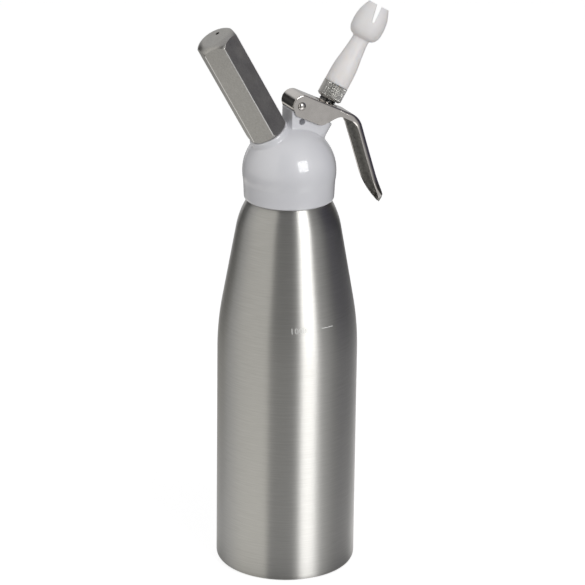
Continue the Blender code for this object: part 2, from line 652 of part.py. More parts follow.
def tulip_outline(inset):
    """The nozzle's side from tip to root: a flower-like cup on a waisted tube."""
    neck = NOZZLE_ROOT + NOZZLE_LENGTH * NOZZLE_NECK_SHARE
    tip = NOZZLE_ROOT + NOZZLE_LENGTH
    cup_shares = [(1.0, 0.0), (0.87, 0.36), (0.7, 0.78), (0.52, 0.97)]
    cup_shares += [(0.38, 1.0), (0.22, 0.93), (0.1, 0.7), (0.04, 0.35)]
    points = []
    for height_share, bulge_share in cup_shares:
        height = neck + (tip - neck) * height_share
        foot = TULIP_TIP_RADIUS if height_share > cup_shares[4][0] else NOZZLE_NECK_RADIUS
        points.append((foot + (TULIP_RADIUS - foot) * bulge_share - inset, height))
    tube_shares = [(1.0, 0.0), (0.87, 0.08), (0.62, 0.5), (0.4, 0.88), (0.2, 1.0), (0.0, 1.0)]
    for height_share, bulge_share in tube_shares:
        height = NOZZLE_ROOT + (neck - NOZZLE_ROOT) * height_share
        radius = NOZZLE_NECK_RADIUS + (NOZZLE_ROOT_RADIUS - NOZZLE_NECK_RADIUS) * bulge_share
        points.append((radius - inset, height))
    return points


def make_nozzle(nozzle_axis):
    """The nozzle: knurled adapter ring, seal and plastic tulip with four petals."""
    ring_outline = [
        (RING_RADIUS, RING_TOP),
        (RING_RADIUS, RING_BOTTOM + RING_CHAMFER),
        (RING_RADIUS - RING_CHAMFER, RING_BOTTOM),
        (RING_BORE, RING_BOTTOM),
        (RING_BORE, RING_TOP),
    ]
    settle(turned("nozzle_ring", ring_outline, MIDDLE_STEPS, nozzle_axis, ring=True), NICKEL)
    seal_top = NOZZLE_SEAL_BOTTOM + NOZZLE_SEAL_THICKNESS
    seal_bore = STEM_BORE + SEAT_GAP
    seal = washer(
        "nozzle_seal", seal_bore, STEM_TOP_RADIUS, NOZZLE_SEAL_BOTTOM, seal_top, SMALL_STEPS, nozzle_axis
    )
    settle(seal, SEAL_RUBBER)
    outer = tulip_outline(0)
    cup_count = 6
    inner = [point for point in reversed(tulip_outline(NOZZLE_WALL)[:cup_count])]
    outline = outer + [
        (STEM_TOP_RADIUS, NOZZLE_ROOT),
        (STEM_TOP_RADIUS, SPIGOT_BOTTOM),
        (NOZZLE_PASSAGE, SPIGOT_BOTTOM),
        (NOZZLE_PASSAGE, outer[cup_count][1] + NOZZLE_WALL),
    ] + inner
    tulip = turned("tulip_nozzle", outline, MIDDLE_STEPS, nozzle_axis, ring=True)
    tip = NOZZLE_ROOT + NOZZLE_LENGTH
    root_half = NOTCH_ROOT_WIDTH / 2
    spread = (NOTCH_TIP_WIDTH - NOTCH_ROOT_WIDTH) / 2 * (NOTCH_DEPTH + OVERRUN) / NOTCH_DEPTH
    root_centre = (0, tip - NOTCH_DEPTH + root_half)
    wedge = arc(root_centre, (root_half, root_half), math.radians(180), math.radians(360), 4)
    wedge += [(root_half + spread, tip + OVERRUN), (-root_half - spread, tip + OVERRUN)]
    for index in range(2):
        notch = outline_solid("notch_%d" % index, wedge, TULIP_RADIUS + OVERRUN, cutter=True)
        notch.parent = nozzle_axis
        notch.rotation_euler = (math.radians(90), 0, NOTCH_TURN + index * math.radians(90))
        cut_from(tulip, notch)
    settle(tulip, WHITE_PLASTIC)


def make_holder(holder_axis):
    """The charger holder: a turned and bored hexagon bar with its sleeve, charger and end pad."""
    holder = bar("charger_holder", HOLDER_CORNER_RADIUS, STUD_FOOT, HOLDER_TOP, 6, holder_axis, cutter=False)
    crown_radius = HOLDER_CORNER_RADIUS + HOLDER_CROWN_SPARE
    top_centre = (crown_radius - HOLDER_TOP_ROUND, HOLDER_TOP - HOLDER_TOP_ROUND)
    foot_centre = (crown_radius - HOLDER_FOOT_ROUND, STUD_FOOT + HOLDER_FOOT_RISE)
    crown = [(0, HOLDER_TOP - MERGE)]
    crown += arc(top_centre, (HOLDER_TOP_ROUND, HOLDER_TOP_ROUND - MERGE), math.radians(90), 0, 6)
    crown += arc(foot_centre, (HOLDER_FOOT_ROUND, HOLDER_FOOT_RISE - MERGE), 0, math.radians(-90), 5)
    crown.append((0, STUD_FOOT + MERGE))
    cut_from(holder, turned("holder_crown", crown, HEAD_STEPS, holder_axis, cutter=True), "INTERSECT")
    bore = [
        (0, HOLDER_FLOOR),
        (HOLDER_BORE_RADIUS, HOLDER_FLOOR),
        (HOLDER_BORE_RADIUS, STUD_TOP + SEAT_GAP),
        (HOLDER_THREAD_BORE, STUD_TOP + SEAT_GAP),
        (HOLDER_THREAD_BORE, STUD_FOOT - OVERRUN),
        (0, STUD_FOOT - OVERRUN),
    ]
    cut_from(holder, turned("holder_bore", bore, MIDDLE_STEPS, holder_axis, cutter=True))
    vent_low = HOLDER_FLOOR - OVERRUN
    vent = bar("vent_hole", VENT_RADIUS, vent_low, HOLDER_TOP + OVERRUN, SMALL_STEPS // 2, holder_axis)
    vent.location = (VENT_OFFSET, 0, 0)
    cut_from(holder, vent)
    settle(holder, ALUMINIUM_SATIN)
    sleeve_low = STUD_TOP + RUN_GAP + SEAT_GAP
    sleeve_high = CHARGER_TOP - CHARGER_RADIUS
    sleeve_bore = SLEEVE_RADIUS - SLEEVE_WALL
    sleeve = washer(
        "holder_sleeve", sleeve_bore, SLEEVE_RADIUS, sleeve_low, sleeve_high, MIDDLE_STEPS, holder_axis
    )
    settle(sleeve, SLEEVE_PLASTIC)
    cushion_bore = VENT_OFFSET + VENT_RADIUS
    cushion = washer(
        "holder_cushion", cushion_bore, CUSHION_RADIUS, CUSHION_LOW, CUSHION_HIGH, SMALL_STEPS, holder_axis
    )
    settle(cushion, SEAL_RUBBER)
    neck_top = CHARGER_BOTTOM + CHARGER_NECK_LENGTH
    charger = arc((0, CHARGER_TOP - CHARGER_RADIUS), (CHARGER_RADIUS, CHARGER_RADIUS), math.radians(90), 0, 6)
    charger[0] = (0, CHARGER_TOP)
    shoulder_span = CHARGER_RADIUS - CHARGER_NECK_RADIUS
    charger += arc(
        (CHARGER_NECK_RADIUS, neck_top + CHARGER_SHOULDER),
        (shoulder_span, CHARGER_SHOULDER),
        0,
        math.radians(-90),
        4,
    )
    charger += [
        (CHARGER_NECK_RADIUS, CHARGER_BOTTOM + CHARGER_NECK_EDGE),
        (CHARGER_NECK_RADIUS - CHARGER_NECK_EDGE, CHARGER_BOTTOM),
        (0, CHARGER_BOTTOM),
    ]
    settle(turned("gas_charger", charger, SMALL_STEPS, holder_axis), STEEL)


def lever_stations():
    """Pairs of points from the pin: the sheet's outer back, and the free edge of its side."""
    pairs = []
    nose_centre = Vector((NOSE_OUT, NOSE_RISE))
    edge_radius = LOBE_DEPTH - NOSE_RADIUS
    plate_up = math.pi / 2 - PLATE_SLOPE
    nose_count = 9
    for index in range(1, nose_count + 1):
        part = index / nose_count
        back_angle = NOSE_START + (plate_up - NOSE_START) * part
        edge_angle = NOSE_START + (plate_up + math.pi - NOSE_START) * part
        back = nose_centre + Vector((math.cos(back_angle), math.sin(back_angle))) * NOSE_RADIUS
        edge = nose_centre + Vector((math.cos(edge_angle), math.sin(edge_angle))) * edge_radius
        pairs.append((back, edge))
    along = Vector((math.cos(PLATE_SLOPE), -math.sin(PLATE_SLOPE)))
    inward = Vector((-math.sin(PLATE_SLOPE), -math.cos(PLATE_SLOPE)))
    run_out_count = 6
    plate_spots = [LOBE_LENGTH / 2, LOBE_LENGTH]
    for index in range(1, run_out_count + 1):
        plate_spots.append(LOBE_LENGTH + LOBE_RUN_OUT * index / run_out_count)
    plate_spots.append(PLATE_LENGTH)
    nose_top = pairs[-1][0]
    for spot in plate_spots:
        fall = min(max((spot - LOBE_LENGTH) / LOBE_RUN_OUT, 0), 1)
        ease = fall * fall * (3 - fall - fall)
        depth = LOBE_DEPTH + (ARM_DEPTH - LOBE_DEPTH) * ease
        back = nose_top + along * spot
        pairs.append((back, back + inward * depth))
    bend_count = 6
    bend_centre = pairs[-1][0] + inward * ARM_BEND_RADIUS
    for index in range(1, bend_count + 1):
        slope = PLATE_SLOPE + (ARM_SLOPE - PLATE_SLOPE) * index / bend_count
        outward = Vector((math.sin(slope), math.cos(slope)))
        back = bend_centre + outward * ARM_BEND_RADIUS
        pairs.append((back, back - outward * ARM_DEPTH))
    arm_start = pairs[-1][0]
    arm_along = Vector((math.cos(ARM_SLOPE), -math.sin(ARM_SLOPE)))
    arm_out = Vector((math.sin(ARM_SLOPE), math.cos(ARM_SLOPE)))
    for part in (0.5, 1.0):
        back = arm_start + arm_along * ARM_STRAIGHT * part
        pairs.append((back, back - arm_out * ARM_DEPTH))
    sweep_centre = pairs[-1][0] + arm_out * ARM_SWEEP_RADIUS
    sweep_count = 9
    for index in range(1, sweep_count + 1):
        part = math.sin(math.pi / 2 * index / sweep_count)
        slope = ARM_SLOPE - ARM_SWEEP * part
        outward = Vector((math.sin(slope), math.cos(slope)))
        back = sweep_centre - outward * ARM_SWEEP_RADIUS
        closing = tip_closing(ARM_SWEEP_RADIUS * ARM_SWEEP * (1 - part))
        pairs.append((back, back - outward * (TIP_DEPTH + (ARM_DEPTH - TIP_DEPTH) * closing)))
    return pairs


def tip_closing(from_tip):
    """How open the arm still is at a distance from its tip: 1 is full width, 0 the tip."""
    part = min(from_tip / TIP_LENGTH, 1)
    return math.sqrt(1 - (1 - part) ** 2)


def lever_half_width(travel, whole):
    """Half the lever's width at a distance along its back."""
    plate_end = NOSE_RADIUS + PLATE_LENGTH
    narrowing = min(max((travel - plate_end) / ARM_STRAIGHT, 0), 1)
    half = HALF_WIDTH + (ARM_WIDTH / 2 - HALF_WIDTH) * narrowing
    return TIP_HALF_WIDTH + (half - TIP_HALF_WIDTH) * tip_closing(whole - travel)


def make_lever(pivot_axis):
    """The lever: one sheet pressed into a channel, round the pivot, over the stem and down the arm."""
    pairs = lever_stations()
    travels = [0.0]
    for (back, _), (after, _) in zip(pairs, pairs[1:]):
        travels.append(travels[-1] + (after - back).length)
    shape = bmesh.new()
    rows = []
    for (back, edge), travel in zip(pairs, travels):
        half = lever_half_width(travel, travels[-1])
        side = (edge - back).normalized()
        bend = min(SHEET_BEND, (edge - back).length / 2)
        row = [(edge, half)]
        for across, deep in arc((half - bend, bend), (bend, bend), 0, math.radians(-90), 3):
            row.append((back + side * deep, across))
        row.append((back, 0))
        rows.append([shape.verts.new((spot.x, -across, spot.y)) for spot, across in row])
    for row, after in zip(rows, rows[1:]):
        for index in range(len(row) - 1):
            shape.faces.new((row[index], after[index], after[index + 1], row[index + 1]))
    mesh = bpy.data.meshes.new("lever")
    shape.to_mesh(mesh)
    shape.free()
    lever = add_object("lever", mesh, pivot_axis)
    mirror = lever.modifiers.new("halves", "MIRROR")
    mirror.use_axis = (False, True, False)
    mirror.use_clip = True
    mirror.merge_threshold = MERGE
    sheet = lever.modifiers.new("sheet", "SOLIDIFY")
    sheet.thickness = SHEET
    sheet.offset = -1
    sheet.use_even_offset = True
    cut_from(lever, stem_slot())
    reach = HALF_WIDTH + OVERRUN
    hole = bar("lever_pin_hole", PIN_HOLE_RADIUS, -reach, reach, SMALL_STEPS)
    hole.location = PIVOT
    hole.rotation_euler = (math.radians(90), 0, 0)
    cut_from(lever, hole)
    return settle(lever, CHROME)


def stem_slot():
    """The long hole in the lever's plate that the stem passes through."""
    half_run = SLOT_LENGTH / 2 - SLOT_HALF_WIDTH
    radii = (SLOT_HALF_WIDTH, SLOT_HALF_WIDTH)
    outline = arc((half_run, 0), radii, math.radians(-90), math.radians(90), 8)
    outline += [(-across, -along) for across, along in outline]
    slot = outline_solid("stem_slot", outline, COLLAR_THICKNESS, cutter=True)
    across, height = on_nozzle(PLATE_ON_AXIS, 0)
    slot.location = (across, 0, height)
    slot.rotation_euler = (0, PLATE_SLOPE, 0)
    return slot


ALUMINIUM = paint("brushed_aluminium", (0.62, 0.61, 0.59), 0.34, 1.0)
ALUMINIUM_SATIN = paint("satin_aluminium", (0.55, 0.54, 0.52), 0.42, 1.0)
WHITE_ENAMEL = paint("white_enamel", (0.76, 0.76, 0.79), 0.22, 0.0)
WHITE_PLASTIC = paint("white_plastic", (0.84, 0.83, 0.83), 0.38, 0.0)
SLEEVE_PLASTIC = paint("sleeve_plastic", (0.05, 0.05, 0.06), 0.5, 0.0)
SEAL_RUBBER = paint("seal_rubber", (0.04, 0.04, 0.04), 0.7, 0.0)
CHROME = paint("polished_steel", (0.72, 0.70, 0.67), 0.18, 1.0)
NICKEL = paint("nickel_plate", (0.6, 0.59, 0.56), 0.35, 1.0)
STEEL = paint("turned_steel", (0.5, 0.5, 0.5), 0.3, 1.0)
BRASS = paint("nickelled_brass", (0.62, 0.56, 0.42), 0.32, 1.0)


def build():
    """Every piece of the dispenser, each on the axis that it sits on or moves along."""
    nozzle_axis = add_axis("nozzle_axis", (0, 0, DOME_CENTRE), NOZZLE_TILT)
    holder_axis = add_axis("holder_axis", (0, 0, DOME_CENTRE), HOLDER_TILT)
    pivot_axis = add_axis("pivot_axis", PIVOT)
    pin_axis = add_axis("pin_axis", PIVOT)
    pin_axis.rotation_euler = (math.radians(90), 0, 0)
    make_bottle()
    make_head(nozzle_axis, holder_axis, pin_axis)
    make_head_fittings(nozzle_axis, holder_axis, pin_axis)
    make_valve(nozzle_axis)
    make_spring(nozzle_axis)
    make_nozzle(nozzle_axis)
    make_holder(holder_axis)
    make_lever(pivot_axis)


build()
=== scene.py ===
import json
import math

import bmesh
import bpy
from mathutils import Matrix, Vector


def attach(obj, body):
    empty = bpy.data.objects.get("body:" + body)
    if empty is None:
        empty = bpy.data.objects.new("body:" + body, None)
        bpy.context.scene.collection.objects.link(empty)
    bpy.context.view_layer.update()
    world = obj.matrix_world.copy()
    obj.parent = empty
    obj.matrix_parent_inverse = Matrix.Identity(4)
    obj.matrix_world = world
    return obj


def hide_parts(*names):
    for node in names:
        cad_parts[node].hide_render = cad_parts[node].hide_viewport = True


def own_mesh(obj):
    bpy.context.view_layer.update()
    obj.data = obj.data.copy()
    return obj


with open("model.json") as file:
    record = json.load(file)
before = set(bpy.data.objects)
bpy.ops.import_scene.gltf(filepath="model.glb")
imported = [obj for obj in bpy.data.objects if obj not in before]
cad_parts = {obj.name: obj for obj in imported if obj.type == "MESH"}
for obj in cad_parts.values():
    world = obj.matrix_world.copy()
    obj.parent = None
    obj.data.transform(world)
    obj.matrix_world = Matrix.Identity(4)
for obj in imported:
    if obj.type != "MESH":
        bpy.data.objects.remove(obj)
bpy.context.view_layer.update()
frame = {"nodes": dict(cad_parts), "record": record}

NODES = frame["nodes"]
SCENE = bpy.context.scene
SCENE.view_settings.view_transform = "Standard"

# Shared sizes and axes: the same values as in part.py, in metres
BOTTLE_RADIUS = 0.045
DOME_CENTRE = 0.2651
NOZZLE_TILT = math.radians(31.1)
HOLDER_TILT = math.radians(-29.5)
PIVOT = Vector((0.0039, 0, 0.3089))
NOZZLE_AXIS = Matrix.Translation((0, 0, DOME_CENTRE)) @ Matrix.Rotation(NOZZLE_TILT, 4, "Y")
HOLDER_AXIS = Matrix.Translation((0, 0, DOME_CENTRE)) @ Matrix.Rotation(HOLDER_TILT, 4, "Y")
QUARTER_X = Matrix.Rotation(math.radians(90), 4, "X")
PIN_AXIS = Matrix.Translation(PIVOT) @ QUARTER_X
UPRIGHT = Matrix.Identity(4)


def linked(name, data):
    """A new object, in the scene."""
    item = bpy.data.objects.new(name, data)
    SCENE.collection.objects.link(item)
    return item


# Camera and light

CAMERA_PLACE = (-0.80941, -1.74283, 0.8818)
CAMERA_TURN = math.radians(-25)
CAMERA_LEAN = math.radians(70.01)
CAMERA_ROLL = math.radians(0.70)


def place_camera():
    """The camera fitted to the photo's outlines."""
    data = bpy.data.cameras.new("camera")
    data.sensor_width = 36
    data.lens = 196.68
    data.clip_start = 0.05
    camera = linked("camera", data)
    turn = Matrix.Rotation(CAMERA_TURN, 4, "Z")
    lean = Matrix.Rotation(CAMERA_LEAN, 4, "X")
    roll = Matrix.Rotation(CAMERA_ROLL, 4, "Z")
    camera.matrix_world = Matrix.Translation(CAMERA_PLACE) @ turn @ lean @ roll
    SCENE.camera = camera


LAMP_TARGET = Vector((0, 0, 0.2))


def place_softbox(name, azimuth, elevation, distance, width, watts, shines=True):
    """A soft square lamp that looks at the object; azimuth is counted from -Y towards +X.

    One that doesn't shine lights the object without a mirror image of its own.
    """
    data = bpy.data.lights.new(name, "AREA")
    data.shape = "RECTANGLE"
    data.size = width
    data.size_y = width
    data.energy = watts
    lamp = linked(name, data)
    side = math.radians(azimuth)
    rise = math.radians(elevation)
    out = Vector((math.sin(side) * math.cos(rise), -math.cos(side) * math.cos(rise), math.sin(rise)))
    lamp.location = LAMP_TARGET + out * distance
    lamp.rotation_euler = out.to_track_quat("Z", "Y").to_euler()
    lamp.visible_glossy = shines


class Graph:
    """A small helper that adds nodes to a material or a world and joins them."""

    def __init__(self, tree):
        self.tree = tree

    def add(self, kind, **settings):
        inputs = settings.pop("inputs", {})
        node = self.tree.nodes.new(kind)
        for name, value in settings.items():
            setattr(node, name, value)
        for name, value in inputs.items():
            socket = node.inputs[name]
            if isinstance(value, bpy.types.NodeSocket):
                self.tree.links.new(value, socket)
            else:
                socket.default_value = value
        return node

    def math(self, operation, first, second=0.0):
        return self.add("ShaderNodeMath", operation=operation, inputs={0: first, 1: second}).outputs[0]

    def ramp(self, factor, stops):
        node = self.add("ShaderNodeValToRGB", inputs={"Fac": factor})
        elements = node.color_ramp.elements
        while len(elements) < len(stops):
            elements.new(0.5)
        for element, (place, shade) in zip(elements, stops):
            element.position = place
            element.color = (*shade, 1) if isinstance(shade, tuple) else (shade, shade, shade, 1)
        return node.outputs[0]


def around(graph, vector, stops, reach=None):
    """A level that changes with the compass direction; stops are (degrees from -Y towards +X, level).

    The reach is a floor point's distance from the bottle's axis. With it the floor's painted reflection
    bands are bent so that they stand upright in the round bottle as the camera sees it, down to its foot.
    """
    parts = graph.add("ShaderNodeSeparateXYZ", inputs={0: vector}).outputs
    angle = graph.math("ARCTAN2", parts["X"], graph.math("MULTIPLY", parts["Y"], -1.0))
    if reach is not None:
        mirror_depth = BOTTLE_RADIUS / 2
        bent = graph.math("ADD", graph.math("MULTIPLY", angle, reach), -CAMERA_TURN * mirror_depth)
        angle = graph.math("DIVIDE", bent, graph.math("SUBTRACT", reach, mirror_depth))
    turn = graph.math("ADD", graph.math("DIVIDE", angle, 2 * math.pi), 0.5)
    return graph.ramp(turn, [(degrees / 360 + 0.5, level) for degrees, level in stops])


def blend(graph, factor, first, second):
    """The first colour where the factor is 0, the second where it is 1."""
    inputs = {0: factor, 6: first, 7: second}
    return graph.add("ShaderNodeMix", data_type="RGBA", clamp_factor=True, inputs=inputs).outputs[2]


def between(graph, value, low, high):
    """0 below the low value, 1 above the high one, eased between them."""
    return graph.add("ShaderNodeMapRange", interpolation_type="SMOOTHSTEP", inputs={
        "Value": value, "From Min": low, "From Max": high, "To Min": 0.0, "To Max": 1.0,
    }).outputs[0]


def light_studio():
    """A white room for the camera, with soft panels and dark gaps round the object for the metal."""
    world = bpy.data.worlds.new("studio")
    world.use_nodes = True
    world.node_tree.nodes.clear()
    graph = Graph(world.node_tree)
    direction = graph.add("ShaderNodeTexCoord").outputs["Generated"]
    height = graph.add("ShaderNodeSeparateXYZ", inputs={0: direction}).outputs["Z"]
    horizon = around(graph, direction, HORIZON)
    panels = around(graph, direction, PANELS)
    room_colour = blend(graph, between(graph, height, *PANELS_RISE), horizon, panels)
    room_colour = blend(graph, between(graph, height, *CEILING_RISE), room_colour, CEILING_SHADE)
    room = graph.add("ShaderNodeBackground", inputs={"Color": room_colour, "Strength": 1.0}).outputs[0]
    white = graph.add("ShaderNodeBackground", inputs={"Color": (1, 1, 1, 1), "Strength": 1.0}).outputs[0]
    seen = graph.add("ShaderNodeLightPath").outputs["Is Camera Ray"]
    mixed = graph.add("ShaderNodeMixShader", inputs={0: seen, 1: room, 2: white}).outputs[0]
    graph.add("ShaderNodeOutputWorld", inputs={"Surface": mixed})
    SCENE.world = world


# Levels round the compass, as around() takes them: the room's light that polished metal sees, and
# the floor's painted reflection, a glow that the floor shows only to glossy rays
HORIZON = [
    (-180, 0.50), (-176, 0.50), (-171, 0.03), (-151, 0.03), (-134, 0.45), (-108, (0.80, 0.79, 0.76)),
    (-59, (0.86, 0.85, 0.815)), (-51, 0.17), (-14, 0.16), (-2, 0.44), (12, 0.44), (34, 0.43),
    (46, 0.38), (60, 0.17), (70, (0.072, 0.068, 0.098)), (96, (0.052, 0.050, 0.068)),
    (120, (0.052, 0.050, 0.068)), (132, 0.45), (150, 0.42), (158, 0.60), (180, 0.50),
]
PANELS = [
    (-180, 0.62), (-150, 0.62), (-134, 0.60), (-108, (0.75, 0.74, 0.71)), (-59, (0.75, 0.74, 0.71)),
    (-51, 0.06), (-18, 0.06), (0, 0.45), (30, 0.42), (46, 0.24), (64, (0.084, 0.080, 0.104)),
    (116, (0.10, 0.10, 0.120)), (130, 0.45), (150, 0.60), (180, 0.62),
]
FAR_FLOOR_PAINTED_REFLECTION = [
    (-180, 0.30), (-171, 0.03), (-151, 0.03), (-60, 0.05), (-14, 0.08), (-2, 0.30), (8, 0.48), (30, 0.46),
    (40, 0.36), (52, 0.20), (64, 0.06), (80, 0.04), (150, 0.03), (162, 0.06), (180, 0.30),
]
# Its brightest stretch, from 8 to 30 degrees, is a painted highlight streak for the bottle
FLOOR_PAINTED_REFLECTION = [
    (-180, 0.66), (-160, 0.56), (-135, 0.64), (-101, (0.81, 0.80, 0.765)), (-60, (0.83, 0.82, 0.785)),
    (-52, 0.49), (-13, 0.50), (-3, 0.66), (8, 1.5), (30, 1.5), (38, 0.86), (47, 0.66), (62, 0.49),
    (79, 0.48), (107, 0.50), (122, 0.76), (141, 1.35), (166, 0.90), (175, 0.72), (180, 0.66),
]

# How high a direction's Z is where the panels and the ceiling come in
PANELS_RISE = (0.30, 0.46)
CEILING_RISE = (0.66, 0.94)
CEILING_SHADE = (0.52, 0.52, 0.53, 1)

# Distances on the floor from the bottle's axis: where the painted shadow round the foot fades out,
# and where one set of painted reflection levels goes over into the next
FOOT_SHADOW = (BOTTLE_RADIUS, 0.075)
FAR_START = (0.50, 0.60)
HORIZON_START = (1.1, 1.6)
FLOOR_REACH = 6.0
# Levels of painted glow on two soft round patches of the floor, which only reflections show
CARD_PAINTED_GLOW = (0.70, 0.69, 0.66, 1)
BACK_CARD_PAINTED_GLOW = (0.62, 0.61, 0.58, 1)


def on_painted_card(graph, spot, centre, inner, outer):
    """1 on a soft round patch of painted glow on the floor, 0 away from it."""
    away = graph.add("ShaderNodeVectorMath", operation="DISTANCE", inputs={0: spot, 1: centre})
    return graph.math("SUBTRACT", 1.0, between(graph, away.outputs["Value"], inner, outer))


def lay_floor():
    """A plain pale floor, white to the camera with the object's shadow; to glossy rays it glows with painted
    reflections and a painted shadow at the foot.
    """
    mesh = bpy.data.meshes.new("floor")
    sides = ((-1, -1), (1, -1), (1, 1), (-1, 1))
    corners = [(FLOOR_REACH * across, FLOOR_REACH * along, 0) for across, along in sides]
    mesh.from_pydata(corners, [], [(0, 1, 2, 3)])
    floor = linked("floor", mesh)
    material = bpy.data.materials.new("pale_floor")
    material.use_nodes = True
    material.node_tree.nodes.clear()
    graph = Graph(material.node_tree)
    path = graph.add("ShaderNodeLightPath").outputs
    matt = graph.add("ShaderNodeBsdfDiffuse", inputs={"Color": (0.42, 0.42, 0.42, 1)}).outputs[0]
    pale = graph.add("ShaderNodeEmission", inputs={
        "Color": (1, 1, 1, 1), "Strength": graph.math("MULTIPLY", path["Is Camera Ray"], 0.80),
    }).outputs[0]
    lit = graph.add("ShaderNodeAddShader", inputs={0: matt, 1: pale}).outputs[0]
    spot = graph.add("ShaderNodeTexCoord").outputs["Object"]
    # Painted reflections: two soft patches where the floor's glow to glossy rays takes a set level
    painted_card = graph.math("MULTIPLY", on_painted_card(graph, spot, (-0.18, -0.27, 0), 0.04, 0.18), 0.7)
    painted_back_card = on_painted_card(graph, spot, (-0.12, 0.46, 0), 0.16, 0.30)
    from_foot = graph.add("ShaderNodeVectorMath", operation="LENGTH", inputs={0: spot}).outputs["Value"]
    # Painted shadow: the floor's glow in reflections dims to half round the bottle's foot
    under_foot = between(graph, from_foot, *FOOT_SHADOW)
    shade = graph.math("ADD", graph.math("MULTIPLY", under_foot, 0.5), 0.5)
    # Painted reflection: to glossy rays the floor glows by compass direction and distance, in place of its
    # lit colour
    near = around(graph, spot, FLOOR_PAINTED_REFLECTION, from_foot)
    painted_glow = blend(graph, between(graph, from_foot, *FAR_START), near, around(graph, spot, FAR_FLOOR_PAINTED_REFLECTION))
    painted_glow = blend(graph, between(graph, from_foot, *HORIZON_START), painted_glow, around(graph, spot, HORIZON))
    painted_glow = blend(graph, painted_card, painted_glow, CARD_PAINTED_GLOW)
    painted_glow = blend(graph, painted_back_card, painted_glow, BACK_CARD_PAINTED_GLOW)
    panels = graph.add("ShaderNodeEmission", inputs={"Color": painted_glow, "Strength": shade}).outputs[0]
    both = graph.add("ShaderNodeMixShader", inputs={0: path["Is Glossy Ray"], 1: lit, 2: panels}).outputs[0]
    graph.add("ShaderNodeOutputMaterial", inputs={"Surface": both})
    mesh.materials.append(material)


# Materials

MATERIALS = {}


def new_material(name, colour, roughness, metallic=0.0, **settings):
    """A Principled material whose uniform values sit on the shader's own sockets, kept under its name."""
    material = bpy.data.materials.new(name)
    material.use_nodes = True
    MATERIALS[name] = material
    shader = material.node_tree.nodes["Principled BSDF"]
    shader.inputs["Base Color"].default_value = (*colour, 1)
    shader.inputs["Roughness"].default_value = roughness
    shader.inputs["Metallic"].default_value = metallic
    for socket, value in settings.items():
        shader.inputs[socket.replace("_", " ")].default_value = value
    return Graph(material.node_tree), shader


def join(graph, source, socket):
    graph.tree.links.new(source, socket)


def local_vector(graph, axis):
    """Object coordinates turned into an axis's own frame."""
    inverse = axis.inverted()
    return graph.add("ShaderNodeMapping", vector_type="POINT", inputs={
        "Vector": graph.add("ShaderNodeTexCoord").outputs["Object"],
        "Location": inverse.translation,
        "Rotation": inverse.to_euler(),
    }).outputs[0]


def noise(graph, axis, scale, detail, rough):
    """A noise in an axis's own frame, as fine in each of its three directions as the scale says."""
    place = local_vector(graph, axis)
    scaled = graph.add("ShaderNodeVectorMath", operation="MULTIPLY", inputs={0: place, 1: scale}).outputs[0]
    return graph.add("ShaderNodeTexNoise", inputs={
        "Vector": scaled, "Scale": 1.0, "Detail": detail, "Roughness": rough,
    }).outputs["Fac"]


def spread(graph, factor, low, high):
    """Map a noise value from its usual 0.3 to 0.7 onto a range."""
    return graph.add("ShaderNodeMapRange", inputs={
        "Value": factor, "From Min": 0.3, "From Max": 0.7, "To Min": low, "To Max": high,
    }).outputs[0]


def bump(graph, height, distance, strength):
    inputs = {"Height": height, "Distance": distance, "Strength": strength}
    return graph.add("ShaderNodeBump", inputs=inputs).outputs[0]


def shade_by(graph, shader, factor, dark, light):
    """The base colour goes from one shade to another with a noise."""
    mix = blend(graph, spread(graph, factor, 0.0, 1.0), (*dark, 1), (*light, 1))
    join(graph, mix, shader.inputs["Base Color"])


def wear(graph, shader, gloss, low, high, grain, depth, strength):
    """Roughness that wanders between two values with one noise, and a bump from another."""
    join(graph, spread(graph, gloss, low, high), shader.inputs["Roughness"])
    join(graph, bump(graph, grain, depth, strength), shader.inputs["Normal"])


def brushed_bottle():
    """Aluminium brushed round the bottle: hair lines in bump, gloss and shade."""
    graph, shader = new_material(
        "bottle_aluminium", (0.62, 0.61, 0.58), 0.4, 1.0, Anisotropic=1.0, Anisotropic_Rotation=0.25)
    coarse = noise(graph, UPRIGHT, (40, 40, 1300), 3.0, 0.7)
    fine = noise(graph, UPRIGHT, (90, 90, 3400), 2.0, 0.6)
    lines = graph.math("ADD", graph.math("MULTIPLY", coarse, 0.5), graph.math("MULTIPLY", fine, 0.5))
    shade_by(graph, shader, lines, (0.565, 0.557, 0.530), (0.685, 0.676, 0.650))
    wear(graph, shader, coarse, 0.37, 0.43, lines, 0.00002, 0.3)
    tangent = graph.add("ShaderNodeTangent", direction_type="RADIAL", axis="Z").outputs[0]
    join(graph, tangent, shader.inputs["Tangent"])


def satin_aluminium(name, dark, light):
    """The holder's aluminium: a fine blasted grain. A much lighter copy of it on the holder's rounded edges
    is partly wear and partly a painted highlight.
    """
    graph, shader = new_material(name, light, 0.35, 1.0)
    grain = noise(graph, HOLDER_AXIS, (1300, 1300, 800), 3.0, 0.7)
    cloud = noise(graph, HOLDER_AXIS, (120, 120, 60), 3.0, 0.6)
    shade_by(graph, shader, grain, dark, light)
    wear(graph, shader, cloud, 0.28, 0.38, grain, 0.00004, 0.4)


def white_enamel():
    """Gloss white enamel over the casting, with a faint orange peel."""
    graph, shader = new_material(
        "white_enamel", (0.76, 0.76, 0.79), 0.45, 0.0, Coat_Weight=1.0, Coat_Roughness=0.085)
    peel = noise(graph, UPRIGHT, (260, 260, 260), 2.0, 0.5)
    cloud = noise(graph, UPRIGHT, (45, 45, 45), 2.0, 0.5)
    shade_by(graph, shader, cloud, (0.735, 0.737, 0.77), (0.77, 0.77, 0.80))
    join(graph, bump(graph, peel, 0.00003, 0.25), shader.inputs["Normal"])
    join(graph, bump(graph, peel, 0.00003, 0.35), shader.inputs["Coat Normal"])


